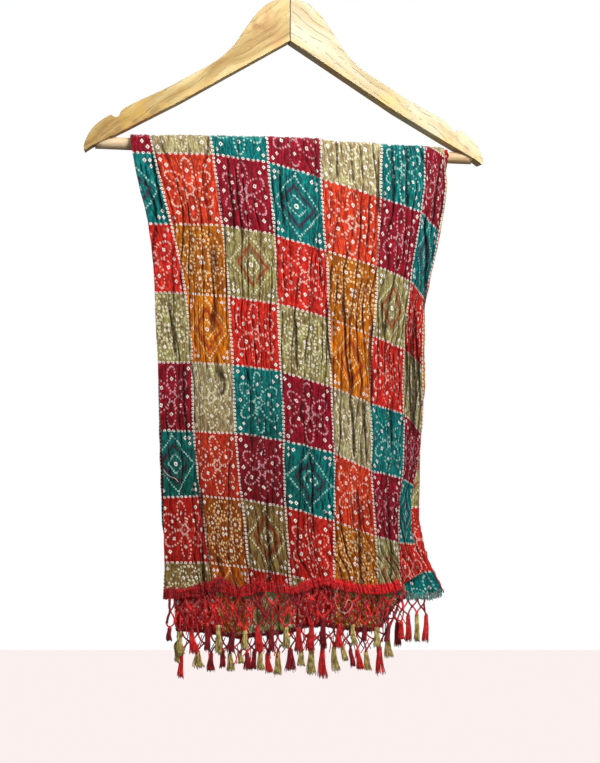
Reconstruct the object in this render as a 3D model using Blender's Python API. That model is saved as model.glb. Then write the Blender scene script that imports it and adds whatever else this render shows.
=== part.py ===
"""Crinkled bandhani dupatta stole, doubled and hung over the bar of a wooden clothes hanger.

The stole is folded in half across its length, so two thicknesses go over the bar and both
fringed ends hang in front. Lengths are in millimetres until a mesh is written in metres.
X runs to the right, Y to the back and Z up. The origin is the inside of the hook's crown,
where the rail of a wardrobe carries the hanger.
"""
import math

import bmesh
import bpy

MM = 0.001                      # metres in a millimetre
SEAM = 0.3                      # clearance between pieces that meet

# ---------------------------------------------------------------- hanger sizes
WIRE_RADIUS = 1.75
HOOK_BEND = 21.75               # radius of the wire's centre line round the rail
HOOK_CENTRE_Z = -20.0           # the rail sits 20 below the crown's inside
HOOK_TIP_ANGLE = 205.0          # degrees, on the left
HOOK_NECK_ANGLE = -50.0         # degrees, where the neck leaves the bend
NECK_BEND = 12.0
SHANK_DEPTH = 14.0              # length of wire inside the wood
WOOD_TOP_Z = -64.0
ARM_HALF_THICKNESS = 9.0
ARM_EDGE_ROUNDING = 1.6
BAR_RADIUS = 6.5
BAR_Z = -228.0                  # height of the bar's axis at the middle
BAR_TILT = 0.010                # the bar drops this much for each millimetre to the right
BAR_HALF_LENGTH = 211.0
SOCKET_START = 150.0            # the sockets are cut from here outwards
RIGHT_ARM_SAG = 2.2             # how much lower the right arm lies than the left
WIRE_SIDES = 10
BAR_SIDES = 24

# Outline of one arm in four runs: distance from the middle, height. The first three are curves.
ARM_CROWN = [
    (0.15, -64.0), (10.0, -64.8), (20.0, -68.0), (29.0, -74.0), (40.0, -85.5), (53.0, -104.0),
    (64.0, -119.5), (82.0, -135.5), (108.0, -151.0), (133.0, -165.5), (153.0, -175.5),
    (172.0, -185.0), (181.0, -190.5),
]
ARM_NOTCH = [(184.0, -194.0), (185.3, -197.2), (188.0, -199.4), (191.0, -199.2), (194.0, -197.4)]
ARM_TIP = [
    (195.0, -197.4), (203.0, -202.3), (211.0, -209.0), (217.0, -216.5), (221.0, -224.5),
    (223.0, -231.5), (221.8, -235.8),
]
ARM_UNDERSIDE = [(214.0, -230.5), (198.0, -222.0), (178.0, -211.5), (120.0, -180.0), (0.15, -109.5)]

# ---------------------------------------------------------------- cloth sizes
WALL = 1.5                      # thickness of a hanging fall, measured front to back
WRAP_WALL = 1.2                 # thickness where it lies over the bar
INNER_WRAP = 7.0                # radius of the inner thickness on the bar
INNER_WRAP_PLEAT = 0.8          # tallest pleat of the inner thickness on the bar
OUTER_WRAP = 9.3                # radius of the outer thickness on the bar
WRAP_STEPS = 6                  # rows over the bar, rear to front
WRAP_TOP = -218.0               # height of the edge tables' first row, used over the bar
WRAP_PLEATS = 0.36              # depth of the pleats on the bar, as a share of a free fall's
EASE_BELOW_BAR = 60.0           # length over which the cloth eases off the bar
TOP_GAP = 0.15                  # half the clearance at the rear seams, below the bar's axis

# Edges of each fall: height, left edge, right edge.
FRONT_EDGES = [
    (-218.0, -175.5, 177.0), (-262.0, -168.0, 179.0), (-311.0, -156.0, 172.0),
    (-358.0, -150.5, 161.5), (-400.0, -149.0, 153.5), (-493.0, -145.0, 153.5),
    (-588.0, -141.0, 148.5), (-638.0, -140.5, 149.5), (-689.0, -140.5, 158.5),
    (-728.0, -142.0, 172.0),
]
INNER_EDGES = [
    (-218.0, -171.0, 184.0), (-262.0, -162.0, 176.0), (-311.0, -151.0, 168.0),
    (-400.0, -145.0, 152.0), (-520.0, -143.5, 148.0), (-640.0, -142.5, 149.0),
    (-690.0, -135.0, 160.0), (-703.0, -133.5, 167.0), (-724.0, -130.5, 178.0),
    (-768.0, -127.0, 176.0),
]
BACK_EDGES = [
    (-218.0, -171.0, 176.0), (-311.0, -150.0, 168.0), (-400.0, -144.0, 151.0),
    (-560.0, -139.0, 147.0), (-720.0, -137.0, 153.0),
]

# Hems: distance from the middle, height.
FRONT_HEM = [
    (-142.0, -719.5), (-108.0, -718.2), (-90.0, -714.2), (-72.0, -718.6), (-43.0, -719.2),
    (-35.0, -716.2), (0.0, -720.0), (17.0, -716.6), (37.0, -711.4), (50.0, -716.0),
    (72.0, -721.0), (103.0, -724.2), (121.0, -721.5), (128.5, -719.0), (131.5, -713.5),
    (153.0, -702.5), (160.0, -695.0), (180.0, -695.0),
]
INNER_HEM = [
    (-127.0, -755.0), (-101.0, -758.0), (-77.0, -763.0), (-57.0, -768.0), (-32.0, -765.0),
    (0.0, -764.0), (16.0, -758.5), (39.0, -758.5), (57.0, -762.0), (80.0, -766.5),
    (100.0, -766.0), (108.0, -760.0), (118.0, -744.0), (126.0, -733.0), (134.0, -730.5),
    (150.0, -729.5), (162.0, -731.0), (178.0, -727.0),
]
# How much the cloth stands off the bar where it is bunched: distance from the middle, height.
TOP_BUNCH = [
    (-177.0, 0.0), (-153.0, 0.0), (-136.0, 0.1), (-119.0, 1.4), (-86.0, 2.3), (-62.0, 2.6),
    (-22.0, 3.7), (18.0, 4.6), (33.0, 4.3), (41.0, 2.8), (63.0, 1.8), (99.0, 2.0), (107.0, 0.7),
    (151.0, 1.4), (177.0, 0.0),
]
# Height of each band above its hem: distance from the middle, height.
FRONT_BAND_TOP = [
    (-142.0, 10.4), (-119.0, 8.5), (-100.0, 12.0), (-86.0, 10.5), (-78.0, 15.0), (-70.0, 14.0),
    (-60.0, 9.0), (-42.0, 13.5), (-28.0, 10.0), (-5.0, 8.0), (9.0, 7.0), (20.0, 9.0),
    (42.0, 7.0), (52.0, 10.3), (77.0, 8.0), (103.0, 9.4), (130.0, 9.0),
]
INNER_BAND_TOP = [(0.0, 10.0)]
BAND_GAP = 0.4
BAND_WALL = 1.3
FRONT_BAND_END = 130.0          # the front band stops here, short of the right corner

FRONT_PLEATS = 39
INNER_PLEATS = 22
BACK_PLEATS = 23
PLEAT_DEPTH = 2.7               # mean depth of a crinkle pleat on a free fall
INNER_PLEAT_DEPTH = 2.2
INNER_PLEAT_GROWTH = 1.6        # how much taller the inner pleats may be off the bar
FRONT_FREE = 11.0               # distance of the front fall's back face from the bar's axis
INNER_FREE = 7.0

# Sections down each front fall, as shares of the drop from the bar to the hem. Two more follow,
# at the top and at the foot of the hem band.
FRONT_LEVELS = [0.07, 0.19, 0.33, 0.48, 0.63, 0.78, 0.90]
INNER_LEVELS = [0.08, 0.26, 0.46, 0.66, 0.86]

# The loop behind the bar: down its outer side, round a fold and up its inner side.
BACK_LEVELS = [-270.0, -360.0, -470.0, -590.0]
BACK_SWELL = 1.4                # how far the outer side eases back below the bar
BACK_FOLD_Z = -700.0
BACK_FOLD_Y = 9.0
BACK_FOLD_RADIUS = 4.5
BACK_FOLD_DEGREES = [0.0, -35.0, -90.0, -145.0, -180.0]
BACK_FOLD_PLEATS = 0.75         # depth of the pleats round the fold, as a share
BACK_INNER_PLEATS = (0.24, 0.74)  # the same on the inner side, at the bar and further down
BACK_INNER_SHIFT = 0.2          # how far the inner side eases forward below the bar

# Folds that stand further out: place across (0 left, 1 right), top, bottom, extra depth.
FRONT_RIDGES = [
    (0.07, -395.0, -470.0, 1.1), (0.29, -235.0, -330.0, 0.8), (0.50, -410.0, -480.0, 1.0),
    (0.66, -235.0, -300.0, 1.0), (0.69, -395.0, -565.0, 1.4), (0.78, -420.0, -510.0, 1.0),
    (0.86, -228.0, -300.0, 1.4), (0.93, -300.0, -390.0, 1.5), (0.94, -405.0, -545.0, 1.6),
    (0.36, -600.0, -720.0, 0.9), (0.80, -620.0, -725.0, 1.3),
]
BACK_RIDGES = [
    (0.12, -300.0, -470.0, 1.2), (0.34, -240.0, -380.0, 0.9), (0.47, -430.0, -640.0, 1.3),
    (0.63, -260.0, -420.0, 1.1), (0.81, -480.0, -690.0, 1.4), (0.91, -240.0, -400.0, 1.0),
]

# ---------------------------------------------------------------- fringe sizes
STRIP_HEIGHT = 2.2
HEM_REACH = 3.0                 # the strip clears the lowest hem this far to either side
NET_ROW = 10.5                  # height of one row of the net's diamonds
KNOT_HALF_WIDTH = 1.3
KNOT_HALF_HEIGHT = 1.5
CORD_WALL = 1.2
FRONT_TASSELS = 19
INNER_TASSELS = 27
FRONT_FRINGE_X = (-135.5, 128.0)  # first and last tassel
INNER_FRINGE_X = (-124.0, 158.0)
FRONT_FRINGE_Y = -13.0
INNER_FRINGE_Y = -8.2
TASSEL_LENGTH = 29.0
TASSEL_SPREAD = 2.6
TASSEL_LEAN = 1.2
STRAND_HALF_WIDTH = 1.05

COLOURS = {
    "wood_gold": (0.60, 0.40, 0.16), "wood_pale": (0.80, 0.70, 0.48),
    "wood_bar": (0.70, 0.56, 0.40), "steel": (0.62, 0.62, 0.63),
    "cloth_front": (0.55, 0.12, 0.06), "cloth_back": (0.42, 0.20, 0.05),
    "cloth_inner": (0.45, 0.06, 0.05), "crochet": (0.36, 0.01, 0.03),
    "tassel": (0.40, 0.02, 0.03),
}


# ---------------------------------------------------------------- shared helpers
def clear_scene():
    for obj in list(bpy.data.objects):
        bpy.data.objects.remove(obj, do_unlink=True)


def make_material(name, roughness, metallic=0.0):
    material = bpy.data.materials.new(name)
    material.use_nodes = True
    shader = material.node_tree.nodes["Principled BSDF"]
    shader.inputs["Base Color"].default_value = (*COLOURS[name], 1.0)
    shader.inputs["Roughness"].default_value = roughness
    shader.inputs["Metallic"].default_value = metallic
    return material


def add_object(name, points, faces, material, smooth=False):
    """Write points in millimetres and their faces as one object in metres."""
    mesh = bpy.data.meshes.new(name)
    mesh.from_pydata([(x * MM, y * MM, z * MM) for x, y, z in points], [], faces)
    work = bmesh.new()
    work.from_mesh(mesh)
    bmesh.ops.recalc_face_normals(work, faces=work.faces)
    work.to_mesh(mesh)
    work.free()
    if smooth:
        mesh.shade_smooth()
        mesh.set_sharp_from_angle(angle=math.radians(40.0))
    mesh.materials.append(material)
    obj = bpy.data.objects.new(name, mesh)
    bpy.context.scene.collection.objects.link(obj)
    return obj


def read_table(table, key, column=1):
    """Value of a column, straight between the rows of a table whose first column is key."""
    rows = sorted(table)
    if key <= rows[0][0]:
        return rows[0][column]
    for low, high in zip(rows, rows[1:]):
        if key <= high[0]:
            share = (key - low[0]) / (high[0] - low[0])
            return low[column] + share * (high[column] - low[column])
    return rows[-1][column]


def smooth_step(start, end, value):
    share = min(1.0, max(0.0, (value - start) / (end - start)))
    return share * share * (3.0 - 2.0 * share)


def make_wall(name, face_a, face_b, material):
    """Closed wall between two grids of points, both cut along the same diagonals."""
    rows = len(face_a)
    columns = len(face_a[0])
    points = [point for grid in (face_a, face_b) for row in grid for point in row]
    other = rows * columns

    def at(row, column):
        return row * columns + column

    faces = []
    for row in range(rows - 1):
        for column in range(columns - 1):
            a = at(row, column)
            b = at(row, column + 1)
            c = at(row + 1, column + 1)
            d = at(row + 1, column)
            faces += [(a, b, c), (a, c, d)]
            faces += [(a + other, c + other, b + other), (a + other, d + other, c + other)]
    rim = [at(0, column) for column in range(columns)]
    rim += [at(row, columns - 1) for row in range(1, rows)]
    rim += [at(rows - 1, column) for column in range(columns - 2, -1, -1)]
    rim += [at(row, 0) for row in range(rows - 2, 0, -1)]
    for one, two in zip(rim, rim[1:] + rim[:1]):
        faces += [(one, one + other, two + other), (one, two + other, two)]
    return add_object(name, points, faces, material)


# ---------------------------------------------------------------- pleats
def pleat_creases(count):
    """Places of the creases from 0 to 1: even ones lie low, odd ones are the pleats' crests."""
    steps = [1.0 + 0.30 * math.sin(2.4 * i) + 0.18 * math.sin(5.1 * i + 1.0)
             for i in range(2 * count)]
    places = [0.0]
    for step in steps:
        places.append(places[-1] + step)
    return [place / places[-1] for place in places]


def pleat_height(crease, place, z, ridges, depth):
    """How far a crease stands off its fall."""
    if crease % 2 == 0:
        return 0.25 * depth * (1.0 + math.sin(1.3 * crease + z / 70.0)) / 2.0
    height = depth * (0.74 + 0.26 * math.sin(1.9 * crease + z / 85.0))
    for across, top, bottom, extra in ridges:
        near = max(0.0, 1.0 - abs(place - across) / 0.022)
        inside = smooth_step(bottom, bottom + 25.0, z) * smooth_step(-top, -top + 25.0, -z)
        height += extra * near * inside
    return height


def bar_height(x):
    """Height of the bar's axis."""
    return BAR_Z - BAR_TILT * x


def across_fall(edges, place, z):
    left = read_table(edges, z, 1)
    right = read_table(edges, z, 2)
    return left + place * (right - left)


def hem_height(hem, edges, place):
    """Height of a hem at a place across; its own height decides how wide the fall is there."""
    z = hem[0][1]
    for _ in range(12):
        z = read_table(hem, across_fall(edges, place, z))
    return z


# ---------------------------------------------------------------- cloth
def front_section(place, crease, hem, edges, ridges, inside, free, depth, wall, levels, bunch,
                  band):
    """One upright line of a front fall: over the bar from the rear, then down to the hem.

    inside is the radius on the bar, free the distance in front of the bar's axis further down,
    bunch the share of the bunching on the bar and band the table of the band's height. Returns
    the points of the cloth's two faces.
    """
    near_points = []
    far_points = []
    x = across_fall(edges, place, WRAP_TOP)
    axis_z = bar_height(x)
    for step in range(WRAP_STEPS + 1):
        angle = math.pi * step / WRAP_STEPS
        height = pleat_height(crease, place, WRAP_TOP, ridges, depth * WRAP_PLEATS)
        if inside == INNER_WRAP:
            height = min(height, INNER_WRAP_PLEAT)
        height += bunch * read_table(TOP_BUNCH, x) * math.sin(angle) ** 2
        for radius, points in ((inside + height, near_points),
                               (inside + height + WRAP_WALL, far_points)):
            y = radius * math.cos(angle)
            z = axis_z + radius * math.sin(angle)
            if step == 0:
                z += TOP_GAP
            points.append((x, y, z))
    bottom = hem_height(hem, edges, place)
    heights = [axis_z + share * (bottom - axis_z) for share in levels]
    foot = across_fall(edges, place, bottom)
    for z in heights + [bottom + read_table(band, foot), bottom]:
        ease = smooth_step(0.0, EASE_BELOW_BAR, axis_z - z)
        share_free = WRAP_PLEATS + (1.0 - WRAP_PLEATS) * ease
        height = pleat_height(crease, place, z, ridges, depth * share_free)
        if inside == INNER_WRAP:
            height = min(height, INNER_WRAP_PLEAT + INNER_PLEAT_GROWTH * ease)
        near = inside + ease * (free - inside) + height
        thick = WRAP_WALL + ease * (wall - WRAP_WALL)
        x = across_fall(edges, place, z)
        near_points.append((x, -near, z))
        far_points.append((x, -near - thick, z))
    return near_points, far_points


def turn_grid(lines):
    """Rows across from lines that run along the cloth."""
    return [list(row) for row in zip(*lines)]


def make_front_fall(name, pleats, hem, edges, ridges, inside, free, depth, levels, bunch, band,
                    material):
    places = pleat_creases(pleats)
    near_lines = []
    far_lines = []
    for crease, place in enumerate(places):
        near, far = front_section(place, crease, hem, edges, ridges, inside, free, depth, WALL,
                                  levels, bunch, band)
        near_lines.append(near)
        far_lines.append(far)
    near_grid = turn_grid(near_lines)
    far_grid = turn_grid(far_lines)
    make_wall(name, near_grid, far_grid, material)
    return near_grid, far_grid


def back_path():
    """The loop behind the bar, along the cloth's inner side: y, z, outward y, outward z,
    how deep its pleats are and its thickness. Heights are those at the bar's middle."""
    top = BAR_Z - TOP_GAP
    path = [(OUTER_WRAP, top, 1.0, 0.0, WRAP_PLEATS, WRAP_WALL)]
    for z in BACK_LEVELS:
        ease = smooth_step(0.0, EASE_BELOW_BAR, BAR_Z - z)
        share = WRAP_PLEATS + (1.0 - WRAP_PLEATS) * ease
        path.append((OUTER_WRAP + BACK_SWELL * ease, z, 1.0, 0.0, share, WALL))
    for degrees in BACK_FOLD_DEGREES:
        angle = math.radians(degrees)
        out_y = math.cos(angle)
        out_z = math.sin(angle)
        path.append((BACK_FOLD_Y + BACK_FOLD_RADIUS * out_y,
                     BACK_FOLD_Z + BACK_FOLD_RADIUS * (1.0 + out_z),
                     out_y, out_z, BACK_FOLD_PLEATS, WALL))
    inner_y = INNER_WRAP + INNER_WRAP_PLEAT + WRAP_WALL
    on_bar, below = BACK_INNER_PLEATS
    for z in reversed(BACK_LEVELS):
        ease = smooth_step(0.0, EASE_BELOW_BAR, BAR_Z - z)
        share = on_bar + (below - on_bar) * ease
        path.append((inner_y - BACK_INNER_SHIFT * ease, z, -1.0, 0.0, share, WRAP_WALL))
    path.append((inner_y, top, -1.0, 0.0, on_bar, WRAP_WALL))
    return path


def make_back(material):
    places = pleat_creases(BACK_PLEATS)
    path = back_path()
    near_grid = []
    far_grid = []
    for y, z, out_y, out_z, share, wall in path:
        near_row = []
        far_row = []
        for crease, place in enumerate(places):
            height = pleat_height(crease, place, z, BACK_RIDGES, PLEAT_DEPTH * share)
            if out_y < 0.0:
                height = min(height, PLEAT_DEPTH * share)
            x = across_fall(BACK_EDGES, place, z)
            tilted = z - BAR_TILT * x * smooth_step(BAR_Z - EASE_BELOW_BAR, BAR_Z - 5.0, z)
            near_row.append((x, y + out_y * height, tilted + out_z * height))
            height += wall
            far_row.append((x, y + out_y * height, tilted + out_z * height))
        near_grid.append(near_row)
        far_grid.append(far_row)
    make_wall("stole_back", near_grid, far_grid, material)


def make_band(name, face, end_x, outward, material):
    """Band lying on the last rows of a fall's face, made from the face's own points."""
    columns = sum(x <= end_x for x, y, z in face[-1])
    rows = [row[:columns] for row in face[-2:]]

    def moved(distance):
        return [[(x, y + outward * distance, z) for x, y, z in row] for row in rows]

    make_wall(name, moved(BAND_GAP), moved(BAND_GAP + BAND_WALL), material)


# ---------------------------------------------------------------- fringe
class NetMesh:
    """Flat net of faces along a hem, thickened into one closed solid."""

    def __init__(self, hem, depth):
        self.hem = hem
        self.depth = depth
        self.points = []
        self.faces = []

    def point(self, x, drop, forward=0.0):
        z = min(read_table(self.hem, x + side) for side in (-HEM_REACH, 0.0, HEM_REACH))
        z -= SEAM + drop
        sway = 0.5 * math.sin(x / 17.0)
        self.points.append((x, self.depth - forward + sway, z))
        return len(self.points) - 1

    def face(self, *corners):
        self.faces.append(corners)

    def solid(self, name, material):
        front = [(x, y - CORD_WALL / 2.0, z) for x, y, z in self.points]
        back = [(x, y + CORD_WALL / 2.0, z) for x, y, z in self.points]
        other = len(self.points)
        faces = []
        used = {}
        for corners in self.faces:
            for i in range(1, len(corners) - 1):
                a, b, c = corners[0], corners[i], corners[i + 1]
                faces.append((a, b, c))
                faces.append((a + other, c + other, b + other))
            for one, two in zip(corners, corners[1:] + corners[:1]):
                used[(one, two)] = True
        for one, two in list(used):
            if (two, one) not in used:
                faces.append((one, one + other, two + other))
                faces.append((one, two + other, two))
        add_object(name, front + back, faces, material)


def add_strip(net, knots):
    """Narrow strip under the hem; returns for each knot its two lower corners."""
    upper = []
    lower = []
    half_pitch = (knots[1] - knots[0]) / 2.0
    for i, x in enumerate(knots):
        stations = [x - KNOT_HALF_WIDTH, x + KNOT_HALF_WIDTH]
        if i < len(knots) - 1:
            stations.append(x + half_pitch)
        for station in stations:
            upper.append(net.point(station, 0.0))
            lower.append(net.point(station, STRIP_HEIGHT))
    for i in range(len(upper) - 1):
        net.face(upper[i], lower[i], lower[i + 1], upper[i + 1])
    return [(lower[3 * i], lower[3 * i + 1]) for i in range(len(knots))]


def add_tassel(net, x, index, left, right, drop):
    """Three strands below a knot whose side corners are left and right."""
    foot_left = net.point(x - KNOT_HALF_WIDTH * 0.45, drop + KNOT_HALF_HEIGHT)
    foot_right = net.point(x + KNOT_HALF_WIDTH * 0.45, drop + KNOT_HALF_HEIGHT)
    roots = [(left, foot_left), (foot_left, foot_right), (foot_right, right)]
    for strand, (one, two) in enumerate(roots):
        lean = (strand - 1) * TASSEL_SPREAD + TASSEL_LEAN * math.sin(1.7 * index)
        length = TASSEL_LENGTH * (0.94 + 0.10 * math.sin(2.3 * index + 1.1 * strand))
        forward = 0.9 * math.sin(1.9 * index + 2.1 * strand)
        tip_left = net.point(x + lean - STRAND_HALF_WIDTH, drop + length, forward)
        tip_right = net.point(x + lean + STRAND_HALF_WIDTH, drop + length, forward)
        net.face(one, tip_left, tip_right, two)
    return foot_left, foot_right


def make_fringe(name, hem, reach, depth, count, material):
    net = NetMesh(hem, depth)
    first, last = reach
    pitch = (last - first) / (count - 1)
    knots = [first + pitch * i for i in range(count)]
    top_corners = add_strip(net, knots)
    apexes = []
    for x, (left, right) in zip(knots, top_corners):
        apex = net.point(x, STRIP_HEIGHT + KNOT_HALF_HEIGHT)
        net.face(left, apex, right)
        apexes.append(apex)
    middle_drop = STRIP_HEIGHT + NET_ROW
    middles = []
    for i in range(count - 1):
        x = (knots[i] + knots[i + 1]) / 2.0
        west = net.point(x - KNOT_HALF_WIDTH, middle_drop)
        north = net.point(x, middle_drop - KNOT_HALF_HEIGHT)
        east = net.point(x + KNOT_HALF_WIDTH, middle_drop)
        south = net.point(x, middle_drop + KNOT_HALF_HEIGHT)
        net.face(west, south, east, north)
        net.face(top_corners[i][1], apexes[i], west, north)
        net.face(top_corners[i + 1][0], north, east, apexes[i + 1])
        middles.append((west, south, east))
    head_drop = middle_drop + NET_ROW
    for i, x in enumerate(knots):
        west = net.point(x - KNOT_HALF_WIDTH, head_drop)
        north = net.point(x, head_drop - KNOT_HALF_HEIGHT)
        east = net.point(x + KNOT_HALF_WIDTH, head_drop)
        foot_left, foot_right = add_tassel(net, x, i, west, east, head_drop)
        net.face(north, west, foot_left, foot_right, east)
        if i > 0:
            near_west, near_south, near_east = middles[i - 1]
            net.face(near_south, west, north, near_east)
        if i < count - 1:
            near_west, near_south, near_east = middles[i]
            net.face(near_west, north, east, near_south)
    net.solid(name, material)


# ---------------------------------------------------------------- hanger
def add_cylinder(name, radius, start, end):
    """Cylinder between two points that lie in the plane of the hanger."""
    bpy.ops.mesh.primitive_cylinder_add(
        vertices=BAR_SIDES, radius=radius * MM, depth=math.dist(start, end) * MM,
        location=[(a + b) / 2.0 * MM for a, b in zip(start, end)],
        rotation=(0.0, math.atan2(end[0] - start[0], end[2] - start[2]), 0.0))
    cylinder = bpy.context.object
    cylinder.name = name
    cylinder.data.name = name
    return cylinder


def bar_point(x):
    return (x, 0.0, bar_height(x))


def smooth_run(points, steps):
    """Points on a smooth curve through the given ones, ends included."""
    padded = [points[0]] + points + [points[-1]]
    run = [points[0]]
    for before, start, end, after in zip(padded, padded[1:], padded[2:], padded[3:]):
        for step in range(1, steps + 1):
            t = step / steps
            run.append(tuple(
                0.5 * (2.0 * b + (c - a) * t + (2.0 * a - 5.0 * b + 4.0 * c - d) * t * t
                       + (3.0 * b - a - 3.0 * c + d) * t * t * t)
                for a, b, c, d in zip(before, start, end, after)))
    return run


def arm_outline(side):
    outline = smooth_run(ARM_CROWN, 2) + ARM_NOTCH + smooth_run(ARM_TIP, 2) + ARM_UNDERSIDE
    sag = RIGHT_ARM_SAG if side > 0.0 else 0.0
    return [(side * x, z - sag * smooth_step(0.0, 60.0, x)) for x, z in outline]


def make_arm(name, side, material):
    """One arm, sawn from the outline, with its edges eased, its socket and its hook groove."""
    outline = arm_outline(side)
    count = len(outline)
    points = [(x, -ARM_HALF_THICKNESS, z) for x, z in outline]
    points += [(x, ARM_HALF_THICKNESS, z) for x, z in outline]
    faces = [tuple(range(count)), tuple(range(2 * count - 1, count - 1, -1))]
    for i in range(count):
        following = (i + 1) % count
        faces.append((i, i + count, following + count, following))
    arm = add_object(name, points, faces, material)
    ease = arm.modifiers.new("eased_edges", "BEVEL")
    ease.width = ARM_EDGE_ROUNDING * MM
    ease.segments = 1
    ease.limit_method = "ANGLE"
    ease.angle_limit = math.radians(60.0)
    socket = add_cylinder(name + "_socket_cutter", BAR_RADIUS + SEAM,
                          bar_point(side * (BAR_HALF_LENGTH + SEAM)),
                          bar_point(side * SOCKET_START))
    groove = add_cylinder(name + "_groove_cutter", WIRE_RADIUS + SEAM,
                          (0.0, 0.0, WOOD_TOP_Z + 10.0),
                          (0.0, 0.0, WOOD_TOP_Z - SHANK_DEPTH - SEAM))
    for cutter in (socket, groove):
        cutter.hide_render = True
        cutter.hide_viewport = True
        cutter.display_type = "WIRE"
        cut = arm.modifiers.new(cutter.name, "BOOLEAN")
        cut.operation = "DIFFERENCE"
        cut.solver = "EXACT"
        cut.object = cutter


def make_bar(material):
    bar = add_cylinder("bar", BAR_RADIUS, bar_point(-BAR_HALF_LENGTH), bar_point(BAR_HALF_LENGTH))
    bar.data.shade_smooth()
    bar.data.set_sharp_from_angle(angle=math.radians(40.0))
    bar.data.materials.append(material)


def hook_route():
    """Centre line of the wire: tip, bend round the rail, neck and shank."""
    route = []
    steps = 17
    for i in range(steps + 1):
        degrees = HOOK_TIP_ANGLE + (HOOK_NECK_ANGLE - HOOK_TIP_ANGLE) * i / steps
        angle = math.radians(degrees)
        route.append((HOOK_BEND * math.cos(angle), HOOK_CENTRE_Z + HOOK_BEND * math.sin(angle)))
    lean = math.radians(-HOOK_NECK_ANGLE)
    end_x, end_z = route[-1]
    straight = (end_x - NECK_BEND * (1.0 - math.cos(lean))) / math.sin(lean)
    start_x = end_x - straight * math.sin(lean)
    start_z = end_z - straight * math.cos(lean)
    for i in range(5):
        turn = lean * (1.0 - i / 4.0)
        route.append((NECK_BEND * (1.0 - math.cos(turn)),
                      start_z - NECK_BEND * (math.sin(lean) - math.sin(turn))))
    route[-5] = (start_x, start_z)
    route.append((0.0, WOOD_TOP_Z - SHANK_DEPTH))
    return route


def make_hook(material):
    curve = bpy.data.curves.new("hook", "CURVE")
    curve.dimensions = "3D"
    curve.bevel_depth = WIRE_RADIUS * MM
    curve.bevel_resolution = 3
    curve.use_fill_caps = True
    route = hook_route()
    spline = curve.splines.new("POLY")
    spline.points.add(len(route) - 1)
    for point, (x, z) in zip(spline.points, route):
        point.co = (x * MM, 0.0, z * MM, 1.0)
    spline.use_smooth = True
    curve.materials.append(material)
    hook = bpy.data.objects.new("hook", curve)
    bpy.context.scene.collection.objects.link(hook)


# ---------------------------------------------------------------- whole object
def build():
    clear_scene()
    make_hook(make_material("steel", 0.32, 1.0))
    make_arm("arm_left", -1.0, make_material("wood_gold", 0.48))
    make_arm("arm_right", 1.0, make_material("wood_pale", 0.48))
    make_bar(make_material("wood_bar", 0.52))

    crochet = make_material("crochet", 0.75)
    tassel = make_material("tassel", 0.70)
    near_grid, far_grid = make_front_fall(
        "stole_front", FRONT_PLEATS, FRONT_HEM, FRONT_EDGES, FRONT_RIDGES,
        OUTER_WRAP, FRONT_FREE, PLEAT_DEPTH, FRONT_LEVELS, 1.0, FRONT_BAND_TOP,
        make_material("cloth_front", 0.38))
    make_band("hem_band_front", far_grid, FRONT_BAND_END, -1.0, crochet)
    near_grid, far_grid = make_front_fall(
        "stole_inner_front", INNER_PLEATS, INNER_HEM, INNER_EDGES, [],
        INNER_WRAP, INNER_FREE, INNER_PLEAT_DEPTH, INNER_LEVELS, 0.0, INNER_BAND_TOP,
        make_material("cloth_inner", 0.42))
    make_band("hem_band_inner", near_grid, INNER_HEM[-1][0], 1.0, crochet)
    make_back(make_material("cloth_back", 0.40))
    make_fringe("fringe_front", FRONT_HEM, FRONT_FRINGE_X, FRONT_FRINGE_Y, FRONT_TASSELS, tassel)
    make_fringe("fringe_inner", INNER_HEM, INNER_FRINGE_X, INNER_FRINGE_Y, INNER_TASSELS, tassel)


build()
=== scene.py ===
"""Looks of a crinkled bandhani dupatta stole hung over the bar of a wooden clothes hanger.

Lengths in the tables are millimetres in the part's frame: X to the right, Y to the back and Z
up from the inside of the hook's crown. Meshes are written in metres. The stole is one long
cloth: from the front hem over the bar, down the back, round the fold, up again inside, over
the bar once more and down to the inner hem.
"""
import math

import bpy
import numpy as np
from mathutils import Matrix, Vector


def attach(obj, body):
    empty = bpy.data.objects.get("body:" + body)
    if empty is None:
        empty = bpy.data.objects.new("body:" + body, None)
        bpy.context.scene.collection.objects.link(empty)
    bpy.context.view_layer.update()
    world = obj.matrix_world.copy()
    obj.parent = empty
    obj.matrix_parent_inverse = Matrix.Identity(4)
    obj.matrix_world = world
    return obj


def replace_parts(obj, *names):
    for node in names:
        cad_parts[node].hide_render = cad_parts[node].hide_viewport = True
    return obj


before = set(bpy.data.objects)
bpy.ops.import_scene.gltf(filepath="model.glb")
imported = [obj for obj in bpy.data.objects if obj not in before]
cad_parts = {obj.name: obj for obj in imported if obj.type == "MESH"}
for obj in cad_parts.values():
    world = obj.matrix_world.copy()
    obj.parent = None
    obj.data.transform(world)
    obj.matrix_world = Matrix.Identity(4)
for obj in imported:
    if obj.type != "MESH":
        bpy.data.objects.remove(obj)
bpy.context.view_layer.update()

MM = 0.001
UP = np.array([0.0, 0.0, 1.0])
CELL = 75.0  # side of one printed check on the flat cloth
FLAT_WIDTH = 485.0  # of the cloth when it is pulled flat

# ---- sizes of the hanging cloth
BAR_Z = -228.0
BAR_TILT = 0.010
BAR_RADIUS = 6.5
BAR_HALF_LENGTH = 211.0
OUTER_WRAP = 10.0  # radius of the outer thickness on the bar
OUTER_FREE = 11.9  # its distance in front of the bar's axis further down
INNER_WRAP = 7.6
INNER_FREE = 6.9
BACK_FREE = 11.6
HEM_LEVEL = -715.0  # height from which the search for a hem starts
EASE_BELOW_BAR = 60.0  # length over which the cloth eases off the bar
WRAP_SHARE = 0.46  # depth of the crinkle on the bar, as a share of a free fall's
BACK_FOLD_Z = -700.0
BACK_POINTS_ACROSS = 450
FOLD_RADIUS = 5.2
FOLD_BULGE = 2.2  # how far the fold swells at its foot
BACK_INNER = 8.9  # distance of the loop's inner side behind the bar's axis

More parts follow.
